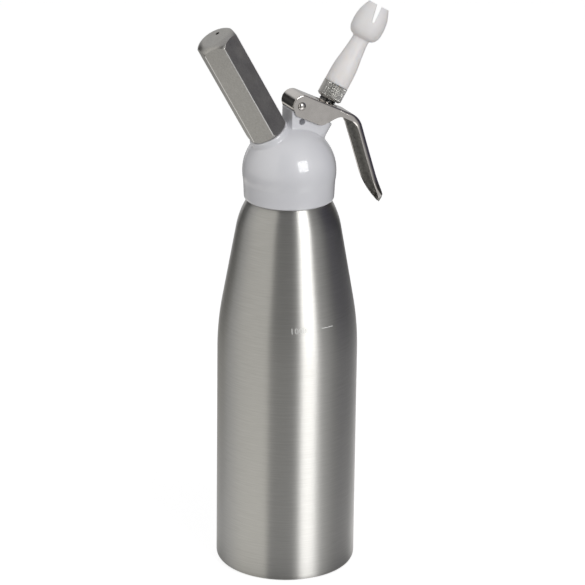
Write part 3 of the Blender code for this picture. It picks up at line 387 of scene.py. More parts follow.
def milky_plastic():
    """The nozzle's moulded plastic: white, a little milky."""
    graph, shader = new_material(
        "white_plastic", (0.86, 0.84, 0.835), 0.45, 0.0, Subsurface_Weight=0.6, Subsurface_Scale=0.004)
    shader.inputs["Subsurface Radius"].default_value = (1.0, 0.9, 0.8)
    cloud = noise(graph, NOZZLE_AXIS, (90, 90, 90), 3.0, 0.5)
    grain = noise(graph, NOZZLE_AXIS, (1800, 1800, 1800), 2.0, 0.5)
    shade_by(graph, shader, cloud, (0.86, 0.83, 0.824), (0.895, 0.865, 0.86))
    wear(graph, shader, grain, 0.42, 0.52, grain, 0.00002, 0.3)


def pressed_steel(name, dull, shiny):
    """The lever's polished sheet and its rivet: a faint grain, softer in places."""
    graph, shader = new_material(name, (0.72, 0.70, 0.67), dull, 1.0)
    grain = noise(graph, UPRIGHT, (700, 700, 700), 3.0, 0.7)
    cloud = noise(graph, UPRIGHT, (160, 160, 160), 3.0, 0.6)
    shade_by(graph, shader, cloud, (0.715, 0.680, 0.646), (0.80, 0.762, 0.728))
    wear(graph, shader, cloud, shiny, dull, grain, 0.00005, 0.25)


def raw_steel_and_painted_shade():
    """The unpolished inner side and end of the pressed lever: dull, with a coarse rolled grain; its colour is
    darker than bare steel as painted shade in the trough.
    """
    graph, shader = new_material("raw_steel_and_painted_shade", (0.28, 0.27, 0.25), 0.5, 0.7)
    grain = noise(graph, PIN_AXIS, (900, 500, 300), 3.0, 0.7)
    shade_by(graph, shader, grain, (0.17, 0.165, 0.152), (0.40, 0.39, 0.36))
    wear(graph, shader, grain, 0.44, 0.6, grain, 0.0001, 0.5)


def turned_metal(name, dark, light, roughness, axis):
    """Lathe-turned metal: fine rings round its axis."""
    graph, shader = new_material(name, light, roughness, 1.0)
    rings = noise(graph, axis, (40, 40, 3000), 2.0, 0.6)
    shade_by(graph, shader, rings, dark, light)
    wear(graph, shader, rings, roughness * 0.8, roughness * 1.25, rings, 0.00005, 0.4)


KNURL_COUNT = 38
KNURL_PITCH = 0.00128


def nickel_with_painted_knurl_shade():
    """The ring's nickel plate, its colour following the knurl: a painted highlight on the points and painted
    shade down in the grooves.
    """
    graph, shader = new_material("nickel_plate", (0.74, 0.73, 0.70), 0.34, 1.0)
    parts = graph.add("ShaderNodeSeparateXYZ", inputs={0: local_vector(graph, NOZZLE_AXIS)}).outputs
    about = graph.math("MULTIPLY", graph.math("ARCTAN2", parts["Y"], parts["X"]), KNURL_COUNT / (2 * math.pi))
    along = graph.math("DIVIDE", parts["Z"], KNURL_PITCH)
    groove = None
    for operation in ("ADD", "SUBTRACT"):
        phase = graph.math("FRACT", graph.math(operation, about, along))
        deep = graph.math("MULTIPLY", graph.math("ABSOLUTE", graph.math("SUBTRACT", phase, 0.5)), 2.0)
        groove = deep if groove is None else graph.math("MAXIMUM", groove, deep)
    grain = noise(graph, NOZZLE_AXIS, (2400, 2400, 2400), 2.0, 0.6)
    # Painted shade in the knurl's grooves and a painted highlight on its points
    shade = blend(graph, between(graph, groove, 0.35, 0.85), (0.93, 0.92, 0.89, 1), (0.36, 0.355, 0.34, 1))
    join(graph, shade, shader.inputs["Base Color"])
    wear(graph, shader, grain, 0.28, 0.40, grain, 0.00002, 0.3)


def plain_soft(name, dark, light, roughness):
    """Rubber and dark plastic: a fine moulded grain."""
    graph, shader = new_material(name, light, roughness, 0.0)
    grain = noise(graph, UPRIGHT, (1500, 1500, 1500), 3.0, 0.6)
    shade_by(graph, shader, grain, dark, light)
    wear(graph, shader, grain, roughness * 0.85, roughness * 1.1, grain, 0.00004, 0.4)


def etched_mark():
    """Laser-etched aluminium: pale and matt, with a little of the grain showing."""
    graph, shader = new_material("etched_mark", (0.80, 0.80, 0.78), 0.7, 0.35)
    grain = noise(graph, UPRIGHT, (30, 30, 2600), 2.0, 0.6)
    shade_by(graph, shader, grain, (0.70, 0.70, 0.68), (0.88, 0.88, 0.86))
    wear(graph, shader, grain, 0.6, 0.8, grain, 0.00003, 0.3)


# Shapes

def arc(centre, radius, start, end, count, rise=None):
    """Points on an arc between two angles in degrees, both included; a rise makes it an ellipse."""
    points = []
    for index in range(count + 1):
        angle = math.radians(start + (end - start) * index / count)
        points.append((centre[0] + radius * math.cos(angle), centre[1] + (rise or radius) * math.sin(angle)))
    return points


def eased(corners, count=4):
    """A profile of (radius, height, ease) corners; each corner is rounded over its ease."""
    points = []
    for index, (radius, height, ease) in enumerate(corners):
        here = Vector((radius, height))
        if ease == 0 or index in (0, len(corners) - 1):
            points.append((radius, height))
            continue
        before = (Vector(corners[index - 1][:2]) - here).normalized() * ease
        after = (Vector(corners[index + 1][:2]) - here).normalized() * ease
        for step in range(count + 1):
            part = step / count
            spot = here + before * (1 - part) ** 2 + after * part ** 2
            points.append((spot.x, spot.y))
    return points


def smooth_line(points, count):
    """A Catmull-Rom curve through profile points."""
    padded = [points[0]] + list(points) + [points[-1]]
    line = []
    for index in range(1, len(padded) - 2):
        a, b, c, d = (Vector(padded[index + offset]) for offset in (-1, 0, 1, 2))
        for step in range(count):
            part = step / count
            spot = 0.5 * (2 * b + (c - a) * part + (2 * a - 5 * b + 4 * c - d) * part ** 2
                          + (3 * b - a - 3 * c + d) * part ** 3)
            line.append((spot.x, spot.y))
    line.append(tuple(points[-1]))
    return line


def turned(profile, steps, axis=UPRIGHT, ring=False, shift=None):
    """A profile of (radius, height) points turned round an axis; shift may move a radius."""
    shape = bmesh.new()
    rows = []
    for radius, height in profile:
        if radius < 1e-7:
            rows.append([shape.verts.new((0, 0, height))])
            continue
        row = []
        for index in range(steps):
            angle = 2 * math.pi * index / steps
            reach = shift(radius, height, angle) if shift else radius
            row.append(shape.verts.new((reach * math.cos(angle), reach * math.sin(angle), height)))
        rows.append(row)
    pairs = list(zip(rows, rows[1:]))
    if ring:
        pairs.append((rows[-1], rows[0]))
    for upper, lower in pairs:
        for index in range(steps):
            after = (index + 1) % steps
            corners = [upper[index % len(upper)], lower[index % len(lower)],
                       lower[after % len(lower)], upper[after % len(upper)]]
            corners = list(dict.fromkeys(corners))
            if len(corners) > 2:
                shape.faces.new(corners)
    bmesh.ops.recalc_face_normals(shape, faces=shape.faces)
    shape.transform(axis)
    return shape


def loose(name, shape):
    """A mesh object of its own, to be finished or to cut with."""
    mesh = bpy.data.meshes.new(name)
    shape.to_mesh(mesh)
    shape.free()
    return linked(name, mesh)


def prism(outline, half_depth, axis=UPRIGHT):
    """A solid from an outline in an axis's XZ plane, equally deep each way along Y."""
    shape = bmesh.new()
    front = [shape.verts.new((across, -half_depth, height)) for across, height in outline]
    back = [shape.verts.new((across, half_depth, height)) for across, height in outline]
    shape.faces.new(front)
    shape.faces.new(list(reversed(back)))
    for index in range(len(outline)):
        after = (index + 1) % len(outline)
        shape.faces.new((front[after], front[index], back[index], back[after]))
    bmesh.ops.recalc_face_normals(shape, faces=shape.faces)
    shape.transform(axis)
    return shape


def evaluated_mesh(item):
    """A new mesh of an object with its modifiers applied."""
    bpy.context.view_layer.update()
    return bpy.data.meshes.new_from_object(item.evaluated_get(bpy.context.evaluated_depsgraph_get()))


def mesh_of(curve):
    """A new mesh of a curve or a text."""
    drawn = linked(curve.name, curve)
    mesh = evaluated_mesh(drawn)
    bpy.data.objects.remove(drawn)
    return mesh


def apply_all(item):
    """Turn the evaluated shape into the object's own mesh."""
    mesh = evaluated_mesh(item)
    item.modifiers.clear()
    item.data = mesh


def carve(item, tools, operation="DIFFERENCE"):
    """Cut a piece with tools, then drop the tools."""
    for tool in tools:
        boolean = item.modifiers.new(tool.name, "BOOLEAN")
        boolean.operation = operation
        boolean.solver = "EXACT"
        boolean.object = tool
    apply_all(item)
    for tool in tools:
        bpy.data.objects.remove(tool)


def finish_piece(item, body, nodes, slot, material=None, sharp=35, crisp=False):
    """Shading, material, and the body that the piece rides on; crisp keeps wide faces flat.

    A material is given only where it isn't the slot's own and the mesh has none yet.
    """
    mesh = item.data
    if not mesh.materials:
        mesh.materials.append(material or MATERIALS[slot])
    mesh.shade_smooth()
    mesh.set_sharp_from_angle(angle=math.radians(sharp))
    if crisp:
        even = item.modifiers.new("crisp", "WEIGHTED_NORMAL")
        even.keep_sharp = True
        even.weight = 90
    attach(item, body)
    if nodes:
        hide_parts(*nodes)


def edge_round(item, width, segments, angle, material=-1):
    """Round the edges sharper than an angle; material is the slot of the new faces."""
    bevel = item.modifiers.new("edge", "BEVEL")
    bevel.material = material
    bevel.width = width
    bevel.segments = segments
    bevel.limit_method = "ANGLE"
    bevel.angle_limit = math.radians(angle)
    bevel.harden_normals = False
    apply_all(item)


SAME_RADIUS = 0.0001


def thread(outer, pitch, depth, low, high, fade=0.001):
    """A screw thread in an outer radius between two heights, running out at both ends."""
    def shift(radius, height, angle):
        if radius < outer - SAME_RADIUS or height < low or height > high:
            return radius
        phase = (height / pitch - angle / (2 * math.pi)) % 1.0
        groove = abs(2 * phase - 1)
        ends = min(1.0, (height - low) / fade, (high - height) / fade)
        return radius - depth * groove * ends
    return shift


def rod(radius, half, steps, axis):
    """A plain round rod, equally long each way along an axis."""
    return turned([(0, half), (radius, half), (radius, -half), (0, -half)], steps, axis)


def wall_points(radius, high, low, step):
    """Evenly spaced profile points down a wall, about a step apart."""
    count = round((high - low) / step)
    return [(radius, high + (low - high) * index / count) for index in range(count + 1)]


# Bottle

CONE_DEGREES = 10.1
SHOULDER_TOP = 0.2463
NECK_RADIUS = 0.0245
NECK_THREAD = thread(NECK_RADIUS, 0.0022, 0.0007, 0.2479, 0.2607)


def bottle_outline(inset=0.0):
    """The bottle's side from the crest of the shoulder down to the middle of the base."""
    cone = math.radians(CONE_DEGREES)
    start = 0.146
    sweep = 0.190
    cone_end = 0.228
    crown = 0.052
    corner = 0.0042
    curve_end = start + sweep * math.sin(cone)
    cone_radius = BOTTLE_RADIUS - sweep * (1 - math.cos(cone)) - (cone_end - curve_end) * math.tan(cone)
    top_centre = (cone_radius - crown * math.cos(cone), cone_end - crown * math.sin(cone))
    top_angle = math.degrees(math.asin((SHOULDER_TOP - top_centre[1]) / crown))
    line = arc(top_centre, crown - inset, top_angle, CONE_DEGREES, 14)
    line += arc((BOTTLE_RADIUS - sweep, start), sweep - inset, CONE_DEGREES, 0, 16)
    line += arc((BOTTLE_RADIUS - corner, corner), corner - inset, 0, -90, 10)
    line.append((0, inset))
    return line


def surface_radius(height):
    """The bottle's outer radius at a height on the shoulder or the wall."""
    line = bottle_outline()
    for (upper_radius, upper), (lower_radius, lower) in zip(line, line[1:]):
        if lower <= height <= upper and upper > lower:
            part = (height - lower) / (upper - lower)
            return lower_radius + (upper_radius - lower_radius) * part
    return BOTTLE_RADIUS


def make_bottle():
    """The drawn bottle with its screwed neck, open inside."""
    neck = NECK_RADIUS
    wall = 0.0015
    top = 0.262
    outline = [(neck - wall, top - 0.0003), (neck - wall + 0.0004, top), (neck - 0.0009, top)]
    outline += wall_points(neck, top - 0.0009, 0.2475, 0.00022)
    outline += [(neck + 0.0002, 0.2468), (neck + 0.0009, 0.2466)]
    outline += bottle_outline()
    outline += reversed(bottle_outline(wall))
    outline.append((neck - wall, 0.2455))
    item = loose("bottle_shell", turned(outline, 192, ring=True, shift=NECK_THREAD))
    finish_piece(item, "bottle", ["bottle"], "bottle_aluminium", sharp=40)


MARK_HEIGHT = 0.1725
MARK_TURN = math.radians(5.4)
MARK_LIFT = 0.00004
LINE_START = -0.0003
LINE_LENGTH = 0.0089
LINE_HALF = 0.00025
NUMBER_CORNER = (-0.0212, 0, MARK_HEIGHT - 0.0019)


def make_fill_mark():
    """The etched fill line and its plain number, lying on the curve of the shoulder."""
    writing = bpy.data.curves.new("fill_number", "FONT")
    writing.body = "1000"
    writing.size = 0.0052
    writing.space_character = 1.1
    shape = bmesh.new()
    shape.from_mesh(mesh_of(writing))
    bmesh.ops.triangulate(shape, faces=shape.faces)
    shape.transform(Matrix.Translation(NUMBER_CORNER) @ QUARTER_X)
    count = 24
    rows = []
    for index in range(count + 1):
        across = LINE_START + LINE_LENGTH * index / count
        rows.append([shape.verts.new((across, 0, MARK_HEIGHT + side)) for side in (LINE_HALF, -LINE_HALF)])
    for before, after in zip(rows, rows[1:]):
        shape.faces.new((before[0], before[1], after[1], after[0]))
    for vertex in shape.verts:
        reach = surface_radius(vertex.co.z) + MARK_LIFT
        angle = MARK_TURN + vertex.co.x / reach
        vertex.co = (reach * math.sin(angle), -reach * math.cos(angle), vertex.co.z)
    item = loose("fill_mark", shape)
    finish_piece(item, "bottle", [], "bottle_aluminium", MATERIALS["etched_mark"])


# Head

TOWER_TOP = 0.0385
TOWER_REACH = 0.0023
BLOCK_HALF = 0.0077
PIN_HOLE = 0.0021
DOME_RADIUS = 0.02975
DOME_CAVITY = 0.020


def on_nozzle(along, aside):
    """A point of the XZ plane, given along the nozzle's axis and to its lever side."""
    return (
        along * math.sin(NOZZLE_TILT) + aside * math.cos(NOZZLE_TILT),
        DOME_CENTRE + along * math.cos(NOZZLE_TILT) - aside * math.sin(NOZZLE_TILT),
    )


def block_outline():
    """The side of the cast block between the dome, the pivot pin and the valve tower."""
    lobe = 0.0041
    back = PIVOT.x - 0.0059
    points = [(back - 0.0004, DOME_CENTRE + 0.018), (back, PIVOT.z - 0.0028)]
    points += arc((PIVOT.x, PIVOT.z), lobe, 223, 52, 14)
    points += [on_nozzle(0.0432, -0.0083), on_nozzle(TOWER_TOP, -0.0083)]
    points += [on_nozzle(TOWER_TOP, TOWER_REACH), on_nozzle(0.022, TOWER_REACH)]
    return points


def make_head():
    """The enamelled casting: its outside is melted together, then bored."""
    solids = []
    dome = arc((0, DOME_CENTRE), DOME_RADIUS, 90, -12, 40)
    dome += arc((0.0273, 0.2482), 0.0013, 0, -90, 6) + [(0, 0.2469)]
    solids.append(turned(dome, 160))
    pad = eased([(0, 0.03075, 0), (0.013, 0.03075, 0.0006), (0.0134, 0.0215, 0), (0, 0.0215, 0)])
    solids.append(turned(pad, 96, HOLDER_AXIS))
    tower = [
        (0, TOWER_TOP), (BLOCK_HALF, TOWER_TOP), (BLOCK_HALF, 0.0295), (0.0081, 0.0275),
        (0.0092, 0.0255), (0.0112, 0.0235), (0, 0.0235),
    ]
    for reach in (0, TOWER_REACH):
        solids.append(turned(tower, 96, NOZZLE_AXIS @ Matrix.Translation((reach, 0, 0))))
    solids.append(prism(block_outline(), BLOCK_HALF))
    whole = bmesh.new()
    for index, solid in enumerate(solids):
        mesh = bpy.data.meshes.new("solid_%d" % index)
        solid.to_mesh(mesh)
        solid.free()
        whole.from_mesh(mesh)
        bpy.data.meshes.remove(mesh)
    item = loose("head_shell", whole)
    melt = item.modifiers.new("melt", "REMESH")
    melt.mode = "VOXEL"
    melt.voxel_size = 0.00045
    soft = item.modifiers.new("soft", "SMOOTH")
    soft.factor = 0.5
    soft.iterations = 12
    apply_all(item)
    neck = [(0, 0.2440), (0.0248, 0.2440), (0.0248, 0.2646), (0.0178, 0.2646)]
    neck += arc((0, DOME_CENTRE), DOME_CAVITY, 27, 90, 20)[1:]
    valve = [
        (0, 0.042), (0.0069, 0.042), (0.0069, 0.028), (0.0067, 0.028), (0.0067, 0.0245),
        (0.0052, 0.0245), (0.0052, 0.0215), (0.0092, 0.0215), (0.0092, 0.008), (0, 0.008),
    ]
    gas = [
        (0, 0.034), (0.008, 0.034), (0.008, 0.025), (0.0018, 0.025),
        (0.0018, 0.0208), (0.0046, 0.0208), (0.0046, 0.008), (0, 0.008),
    ]
    drain = [(0, 0.012), (PIN_HOLE, 0.012), (PIN_HOLE, 0.0015), (0, 0.0010)]
    drain_at = Matrix.Translation((PIVOT.x + 0.0011, 0, PIVOT.z - 0.0106)) @ QUARTER_X
    carve(item, [
        loose("neck_cut", turned(neck, 128)),
        loose("valve_cut", turned(valve, 64, NOZZLE_AXIS)),
        loose("gas_cut", turned(gas, 64, HOLDER_AXIS)),
        loose("pin_cut", rod(PIN_HOLE, 0.012, 48, PIN_AXIS)),
        loose("drain_cut", turned(drain, 48, drain_at)),
    ])
    finish_piece(item, "head", ["head_casting"], "white_enamel", sharp=38)


# Lever

SHEET = 0.0009
LEVER_HALF = 0.0093
ARM_WIDENING = 0.0018
ARM_FLARE = 0.012
ARM_NARROWING = 0.0008
NOSE_BEND = 0.0008
PLATE_BEND = 0.0015
NOSE_START = math.radians(200)
CHEEK_LEAD = math.radians(15)
CHEEK_GROWTH = 1.6
NOSE_RADIUS = 0.0067
NOSE_CENTRE = Vector((0.00095, 0.00037))
PLATE_SLOPE = math.radians(26)
PLATE_LENGTH = 0.0342
LOBE_DEPTH = 0.0143
LOBE_LENGTH = 0.0165
LOBE_RUN_OUT = 0.013
ARM_DEPTH = 0.0043
ARM_BEND = 0.0168
ARM_SLOPE = math.radians(72.8)
ARM_STRAIGHT = 0.0332
ARM_SWEEP_RADIUS = 0.060
ARM_SWEEP = math.radians(17.8)
TIP_LENGTH = 0.017
TIP_HALF_WIDTH = 0.0034
TIP_DEPTH = 0.0050
TIP_REACH = 0.0031
TIP_EDGE = 0.0006
TIP_POINTING = 0.0021
PIN_CLEARANCE_HOLE = 0.0027
SLOT_HALF = 0.0036
SLOT_RADIUS = 0.006
SLOT_HALF_RUN = 0.0018

# How many rows of points each stretch has, from the nose to the tip
NOSE_ROWS = 24
CHEEK_ROWS = 6
RUN_OUT_ROWS = 18
BEND_ROWS = 18
ARM_ROWS = 8
SWEEP_ROWS = 30
TIP_ROWS = 8
# RAW_ROWS: the arm's last rows, whose outside also takes the raw steel darkened as painted shade
RAW_ROWS = 16


def share(value, start, length):
    """How much of a stretch lies behind a value: 0 before its start, 1 past its end."""
    return min(max((value - start) / length, 0), 1)


def heading(slope):
    """The direction along a sheet that falls at a slope, and the one out of its back."""
    return Vector((math.cos(slope), -math.sin(slope))), Vector((math.sin(slope), math.cos(slope)))


def tip_closing(from_tip):
    """How open the arm is at a distance from its end face: 1 is its full width, 0 the end face."""
    part = min(from_tip / TIP_LENGTH, 1)
    return math.sqrt(max(0.0, 1 - (1 - part) ** 2))


def lever_stations():
    """Pairs of points from the pin: the sheet's outer back, and the free edge of its side."""
    pairs = []
    plate_up = math.pi / 2 - PLATE_SLOPE
    for index in range(NOSE_ROWS + 1):
        part = index / NOSE_ROWS
        back_angle = NOSE_START + (plate_up - NOSE_START) * part
        edge_angle = NOSE_START + CHEEK_LEAD + (plate_up + math.pi - NOSE_START - CHEEK_LEAD) * part
        back = NOSE_CENTRE + Vector((math.cos(back_angle), math.sin(back_angle))) * NOSE_RADIUS
        reach = NOSE_RADIUS + (LOBE_DEPTH - 2 * NOSE_RADIUS) * min(CHEEK_GROWTH * part, 1)
        edge = NOSE_CENTRE + Vector((math.cos(edge_angle), math.sin(edge_angle))) * reach
        pairs.append((back, edge))
    along, outward = heading(PLATE_SLOPE)
    spots = [LOBE_LENGTH * part / CHEEK_ROWS for part in range(1, CHEEK_ROWS + 1)]
    spots += [LOBE_LENGTH + LOBE_RUN_OUT * part / RUN_OUT_ROWS for part in range(1, RUN_OUT_ROWS + 1)]
    spots += [PLATE_LENGTH - 0.0035, PLATE_LENGTH]
    nose_top = pairs[-1][0]
    for spot in spots:
        fall = share(spot, LOBE_LENGTH, LOBE_RUN_OUT)
        depth = LOBE_DEPTH + (ARM_DEPTH - LOBE_DEPTH) * fall * fall * (3 - fall - fall)
        back = nose_top + along * spot
        pairs.append((back, back - outward * depth))
    bend_centre = pairs[-1][0] - outward * ARM_BEND
    for index in range(1, BEND_ROWS + 1):
        _, outward = heading(PLATE_SLOPE + (ARM_SLOPE - PLATE_SLOPE) * index / BEND_ROWS)
        pairs.append((bend_centre + outward * ARM_BEND, bend_centre + outward * (ARM_BEND - ARM_DEPTH)))
    arm_start = pairs[-1][0]
    along, outward = heading(ARM_SLOPE)
    for index in range(1, ARM_ROWS + 1):
        back = arm_start + along * ARM_STRAIGHT * index / ARM_ROWS
        pairs.append((back, back - outward * ARM_DEPTH))
    sweep_centre = pairs[-1][0] + outward * ARM_SWEEP_RADIUS
    for index in range(1, SWEEP_ROWS + 1):
        part = math.sin(math.pi / 2 * index / SWEEP_ROWS)
        along, outward = heading(ARM_SLOPE - ARM_SWEEP * part)
        back = sweep_centre - outward * ARM_SWEEP_RADIUS
        closing = tip_closing(ARM_SWEEP_RADIUS * ARM_SWEEP * (1 - part))
        pairs.append((back, back - outward * (TIP_DEPTH + (ARM_DEPTH - TIP_DEPTH) * closing)))
    back, edge = pairs[-1]
    for index in range(1, TIP_ROWS + 1):
        part = index / TIP_ROWS
        ahead = along * TIP_REACH * part
        sunk = outward * (TIP_DEPTH - TIP_EDGE) * part ** 1.3
        pairs.append((back + ahead - sunk, edge + ahead))
    return pairs


def lever_half_width(travel, whole):
    """Half the lever's width at a distance along its back."""
    past_plate = travel - NOSE_RADIUS - PLATE_LENGTH
    half = LEVER_HALF + ARM_WIDENING * share(past_plate, 0, ARM_FLARE)
    half -= ARM_NARROWING * share(past_plate, 0, ARM_STRAIGHT)
    return TIP_HALF_WIDTH + (half - TIP_HALF_WIDTH) * tip_closing(whole - travel)


def lever_section(back, edge, half, curl, sheet_bend):
    """The points across the sheet at one station: edge, side, bend and back, and the same mirrored.

    The curl takes the bend from the sheet's own to an arm rounded over nearly all its depth.
    """
    depth = (edge - back).length
    side = (edge - back) / depth
    bend = sheet_bend + (min(0.95 * depth, 0.75 * half) - sheet_bend) * curl
    spots = [(edge, half - 0.0004 * curl), (edge - side * (depth - bend) * 0.5, half - 0.0001 * curl)]
    for across, deep in arc((half - bend, bend), bend, 0, -90, 10):
        spots.append((back + side * deep, across))
    spots += [(back, (half - bend) * part) for part in (0.6, 0.0)]
    spots += [(spot, -across) for spot, across in reversed(spots[:-1])]
    return [(PIVOT.x + spot.x, -across, PIVOT.z + spot.y) for spot, across in spots]


def make_lever():
    """The lever, pressed from one sheet: rounded nose, slotted plate, cheeks and trough of the arm."""
    pairs = lever_stations()
    travels = [0.0]
    for (back, _), (after, _) in zip(pairs, pairs[1:]):
        travels.append(travels[-1] + (after - back).length)
    shape = bmesh.new()
    rows = []
    tip_start = len(pairs) - 1 - TIP_ROWS
    for index, ((back, edge), travel) in enumerate(zip(pairs, travels)):
        half = lever_half_width(travel, travels[tip_start])
        half -= TIP_POINTING * (max(index - tip_start, 0) / TIP_ROWS) ** 2
        sheet_bend = NOSE_BEND + (PLATE_BEND - NOSE_BEND) * share(index, 20, 8)
        section = lever_section(back, edge, half, share(index, 46, 22), sheet_bend)
        rows.append([shape.verts.new(spot) for spot in section])
    for number, (row, after) in enumerate(zip(rows, rows[1:])):
        for index in range(len(row) - 1):
            face = shape.faces.new((row[index], after[index], after[index + 1], row[index + 1]))
            # The arm's last rows take slot 1 outside too: dull raw steel, partly painted shade
            face.material_index = int(number >= len(rows) - 1 - RAW_ROWS)
    item = loose("lever_sheet", shape)
    item.data.materials.append(MATERIALS["polished_steel"])
    item.data.materials.append(MATERIALS["raw_steel_and_painted_shade"])
    # The sheet's inner side takes slot 1: raw steel, its darkness partly painted shade in the trough
    sheet = item.modifiers.new("sheet", "SOLIDIFY")
    sheet.material_offset = 1
    sheet.thickness = SHEET
    sheet.offset = -1
    sheet.use_even_offset = True
    apply_all(item)
    slot = arc((SLOT_HALF_RUN, 0), SLOT_RADIUS, -90, 90, 20)
    slot += [(-across, -along) for across, along in slot]
    across, height = on_nozzle(0.04752, 0)
    slot_at = Matrix.Translation((across, 0, height)) @ Matrix.Rotation(PLATE_SLOPE, 4, "Y") @ QUARTER_X
    hole = rod(PIN_CLEARANCE_HOLE, 0.012, 48, PIN_AXIS)
    carve(item, [loose("slot_cut", prism(slot, SLOT_HALF, slot_at)), loose("hole_cut", hole)])
    edge_round(item, 0.00018, 2, 50)
    finish_piece(item, "lever", ["lever"], "polished_steel", sharp=50, crisp=True)


def make_pin():
    """The pivot pin: a polished rivet with a domed head at both ends."""
    head = [(0, 0.0107)] + arc((0, 0.0092), 0.0025, 84, 0, 14, rise=0.0015)
    head += [(0.0025, 0.0086), (0.00262, 0.0084), (0.00262, 0.0080), (0.0018, 0.0080)]
    outline = head + [(radius, -height) for radius, height in reversed(head)]
    item = loose("pin_rivet", turned(outline, 64, PIN_AXIS))
    finish_piece(item, "head", ["pivot_pin"], "polished_steel", MATERIALS["polished_rivet"], sharp=40)


# Valve, ring and nozzle

STEM_RADIUS = 0.0055
STEM_THREAD = thread(STEM_RADIUS, 0.00125, 0.00062, 0.0478, 0.0579, 0.0004)
STEM_SHINE = 0.002


def make_stem():
    """The hollow valve stem with its thrust collar and the coarse thread that shows over the lever.

    The collar and the first turns of the thread over it are polished steel; the rest of the thread is steel
    painted dark, a painted shade under the ring.
    """
    collar_radius = 0.0074
    collar_top = 0.04722
    collar_foot = collar_top - 0.0036
    outline = [(0.0024, 0.058), (0.0050, 0.058)]
    outline += wall_points(STEM_RADIUS, 0.0578, collar_top + 0.0005, 0.00012)
    outline += eased([
        (STEM_RADIUS, collar_top, 0), (collar_radius, collar_top - 0.0005, 0.0006),
        (collar_radius, collar_foot, 0.0003), (0.0046, collar_foot, 0),
    ])
    outline += [(0.0046, 0.0273), (0.0033, 0.0273), (0.0033, 0.0255), (0.0046, 0.0255), (0.0046, 0.0182)]
    outline += [(0.0035, 0.0182), (0.0035, 0.0104), (0, 0.0104), (0, 0.0216), (0.0024, 0.0216)]
    item = loose("stem_turned", turned(outline, 64, NOZZLE_AXIS, ring=True, shift=STEM_THREAD))
    item.data.materials.append(MATERIALS["painted_shade_steel"])
    item.data.materials.append(MATERIALS["polished_steel"])
    # Painted shade: the thread above STEM_SHINE, under the ring, gets the dark steel; the collar and lowest
    # turns stay polished
    for face in item.data.polygons:
        face.material_index = int((NOZZLE_AXIS.inverted() @ face.center).z < collar_top + STEM_SHINE)
    ports = []
    for index in range(2):
        turn = Matrix.Rotation(math.radians(90 * index), 4, "Z")
        at = NOZZLE_AXIS @ Matrix.Translation((0, 0, 0.0232)) @ turn @ QUARTER_X
        ports.append(loose("port_cut_%d" % index, rod(0.0013, 0.007, 24, at)))
    carve(item, ports)
    finish_piece(item, "valve", ["valve_stem"], "turned_steel", sharp=32)


RING_RADIUS = 0.0082
KNURL_DEPTH = 0.0006
KNURL_TOP = 0.0613
KNURL_FOOT = 0.0528


def knurl(radius, height, angle):
    """Diamond knurling: two crossing families of grooves."""
    if radius < RING_RADIUS - SAME_RADIUS or height < KNURL_FOOT or height > KNURL_TOP:
        return radius
    about = angle * KNURL_COUNT / (2 * math.pi)
    along = height / KNURL_PITCH
    deepest = 0.0
    for phase in (about + along, about - along):
        deepest = max(deepest, abs((phase % 1.0) - 0.5) * 2)
    return radius - KNURL_DEPTH * deepest


def make_ring():
    """The knurled adapter ring."""
    low = 0.0513
    high = 0.0616
    bore = 0.0058
    outline = [(bore, high), (RING_RADIUS - 0.0002, high), (RING_RADIUS, high - 0.0002)]
    outline += wall_points(RING_RADIUS, KNURL_TOP, KNURL_FOOT, 0.00014)
    outline += [(RING_RADIUS, 0.0526), (RING_RADIUS - 0.0013, low + 0.0001)]
    outline += [(RING_RADIUS - 0.0015, low), (bore, low)]
    item = loose("ring_knurled", turned(outline, 456, NOZZLE_AXIS, ring=True, shift=knurl))
    finish_piece(item, "nozzle", ["nozzle_ring"], "nickel_plate", sharp=30)


TULIP_ROOT = 0.0617
TULIP_LENGTH = 0.056
TULIP_TIP = TULIP_ROOT + TULIP_LENGTH
CUP_RADIUS = 0.0104
CUP_MOUTH = 0.007
CUP_WALL = 0.0016
CUP_WIDEST = 0.38
WAIST_RADIUS = 0.0053
TUBE_RADIUS = 0.0079
TUBE_SHARE = 0.578
NOTCH_TURN = math.radians(-31)
NOTCH_DEPTH = 0.0114
NOTCH_HALF = 0.0009

# The cup and the tube from top to bottom: (share of the height, share of the way out to the widest)
CUP_SIDE = (
    (1.0, 0.0), (0.87, 0.36), (0.7, 0.78), (0.52, 0.97),
    (CUP_WIDEST, 1.0), (0.22, 0.93), (0.11, 0.7), (0.045, 0.38),
)
TUBE_SIDE = ((1.0, 0.12), (0.87, 0.14), (0.62, 0.5), (0.4, 0.88), (0.2, 1.0), (0.0, 1.0))


def tulip_side(inset):
    """The nozzle's side from tip to root: a flower-like cup on a waisted tube."""
    neck = TULIP_ROOT + TULIP_LENGTH * TUBE_SHARE
    points = []
    for height_share, bulge in CUP_SIDE:
        narrow = CUP_MOUTH if height_share > CUP_WIDEST else WAIST_RADIUS
        radius = narrow + (CUP_RADIUS - narrow) * bulge - inset
        points.append((radius, neck + (TULIP_TIP - neck) * height_share))
    for height_share, bulge in TUBE_SIDE:
        radius = WAIST_RADIUS + (TUBE_RADIUS - WAIST_RADIUS) * bulge - inset
        points.append((radius, TULIP_ROOT + (neck - TULIP_ROOT) * height_share))
    return points


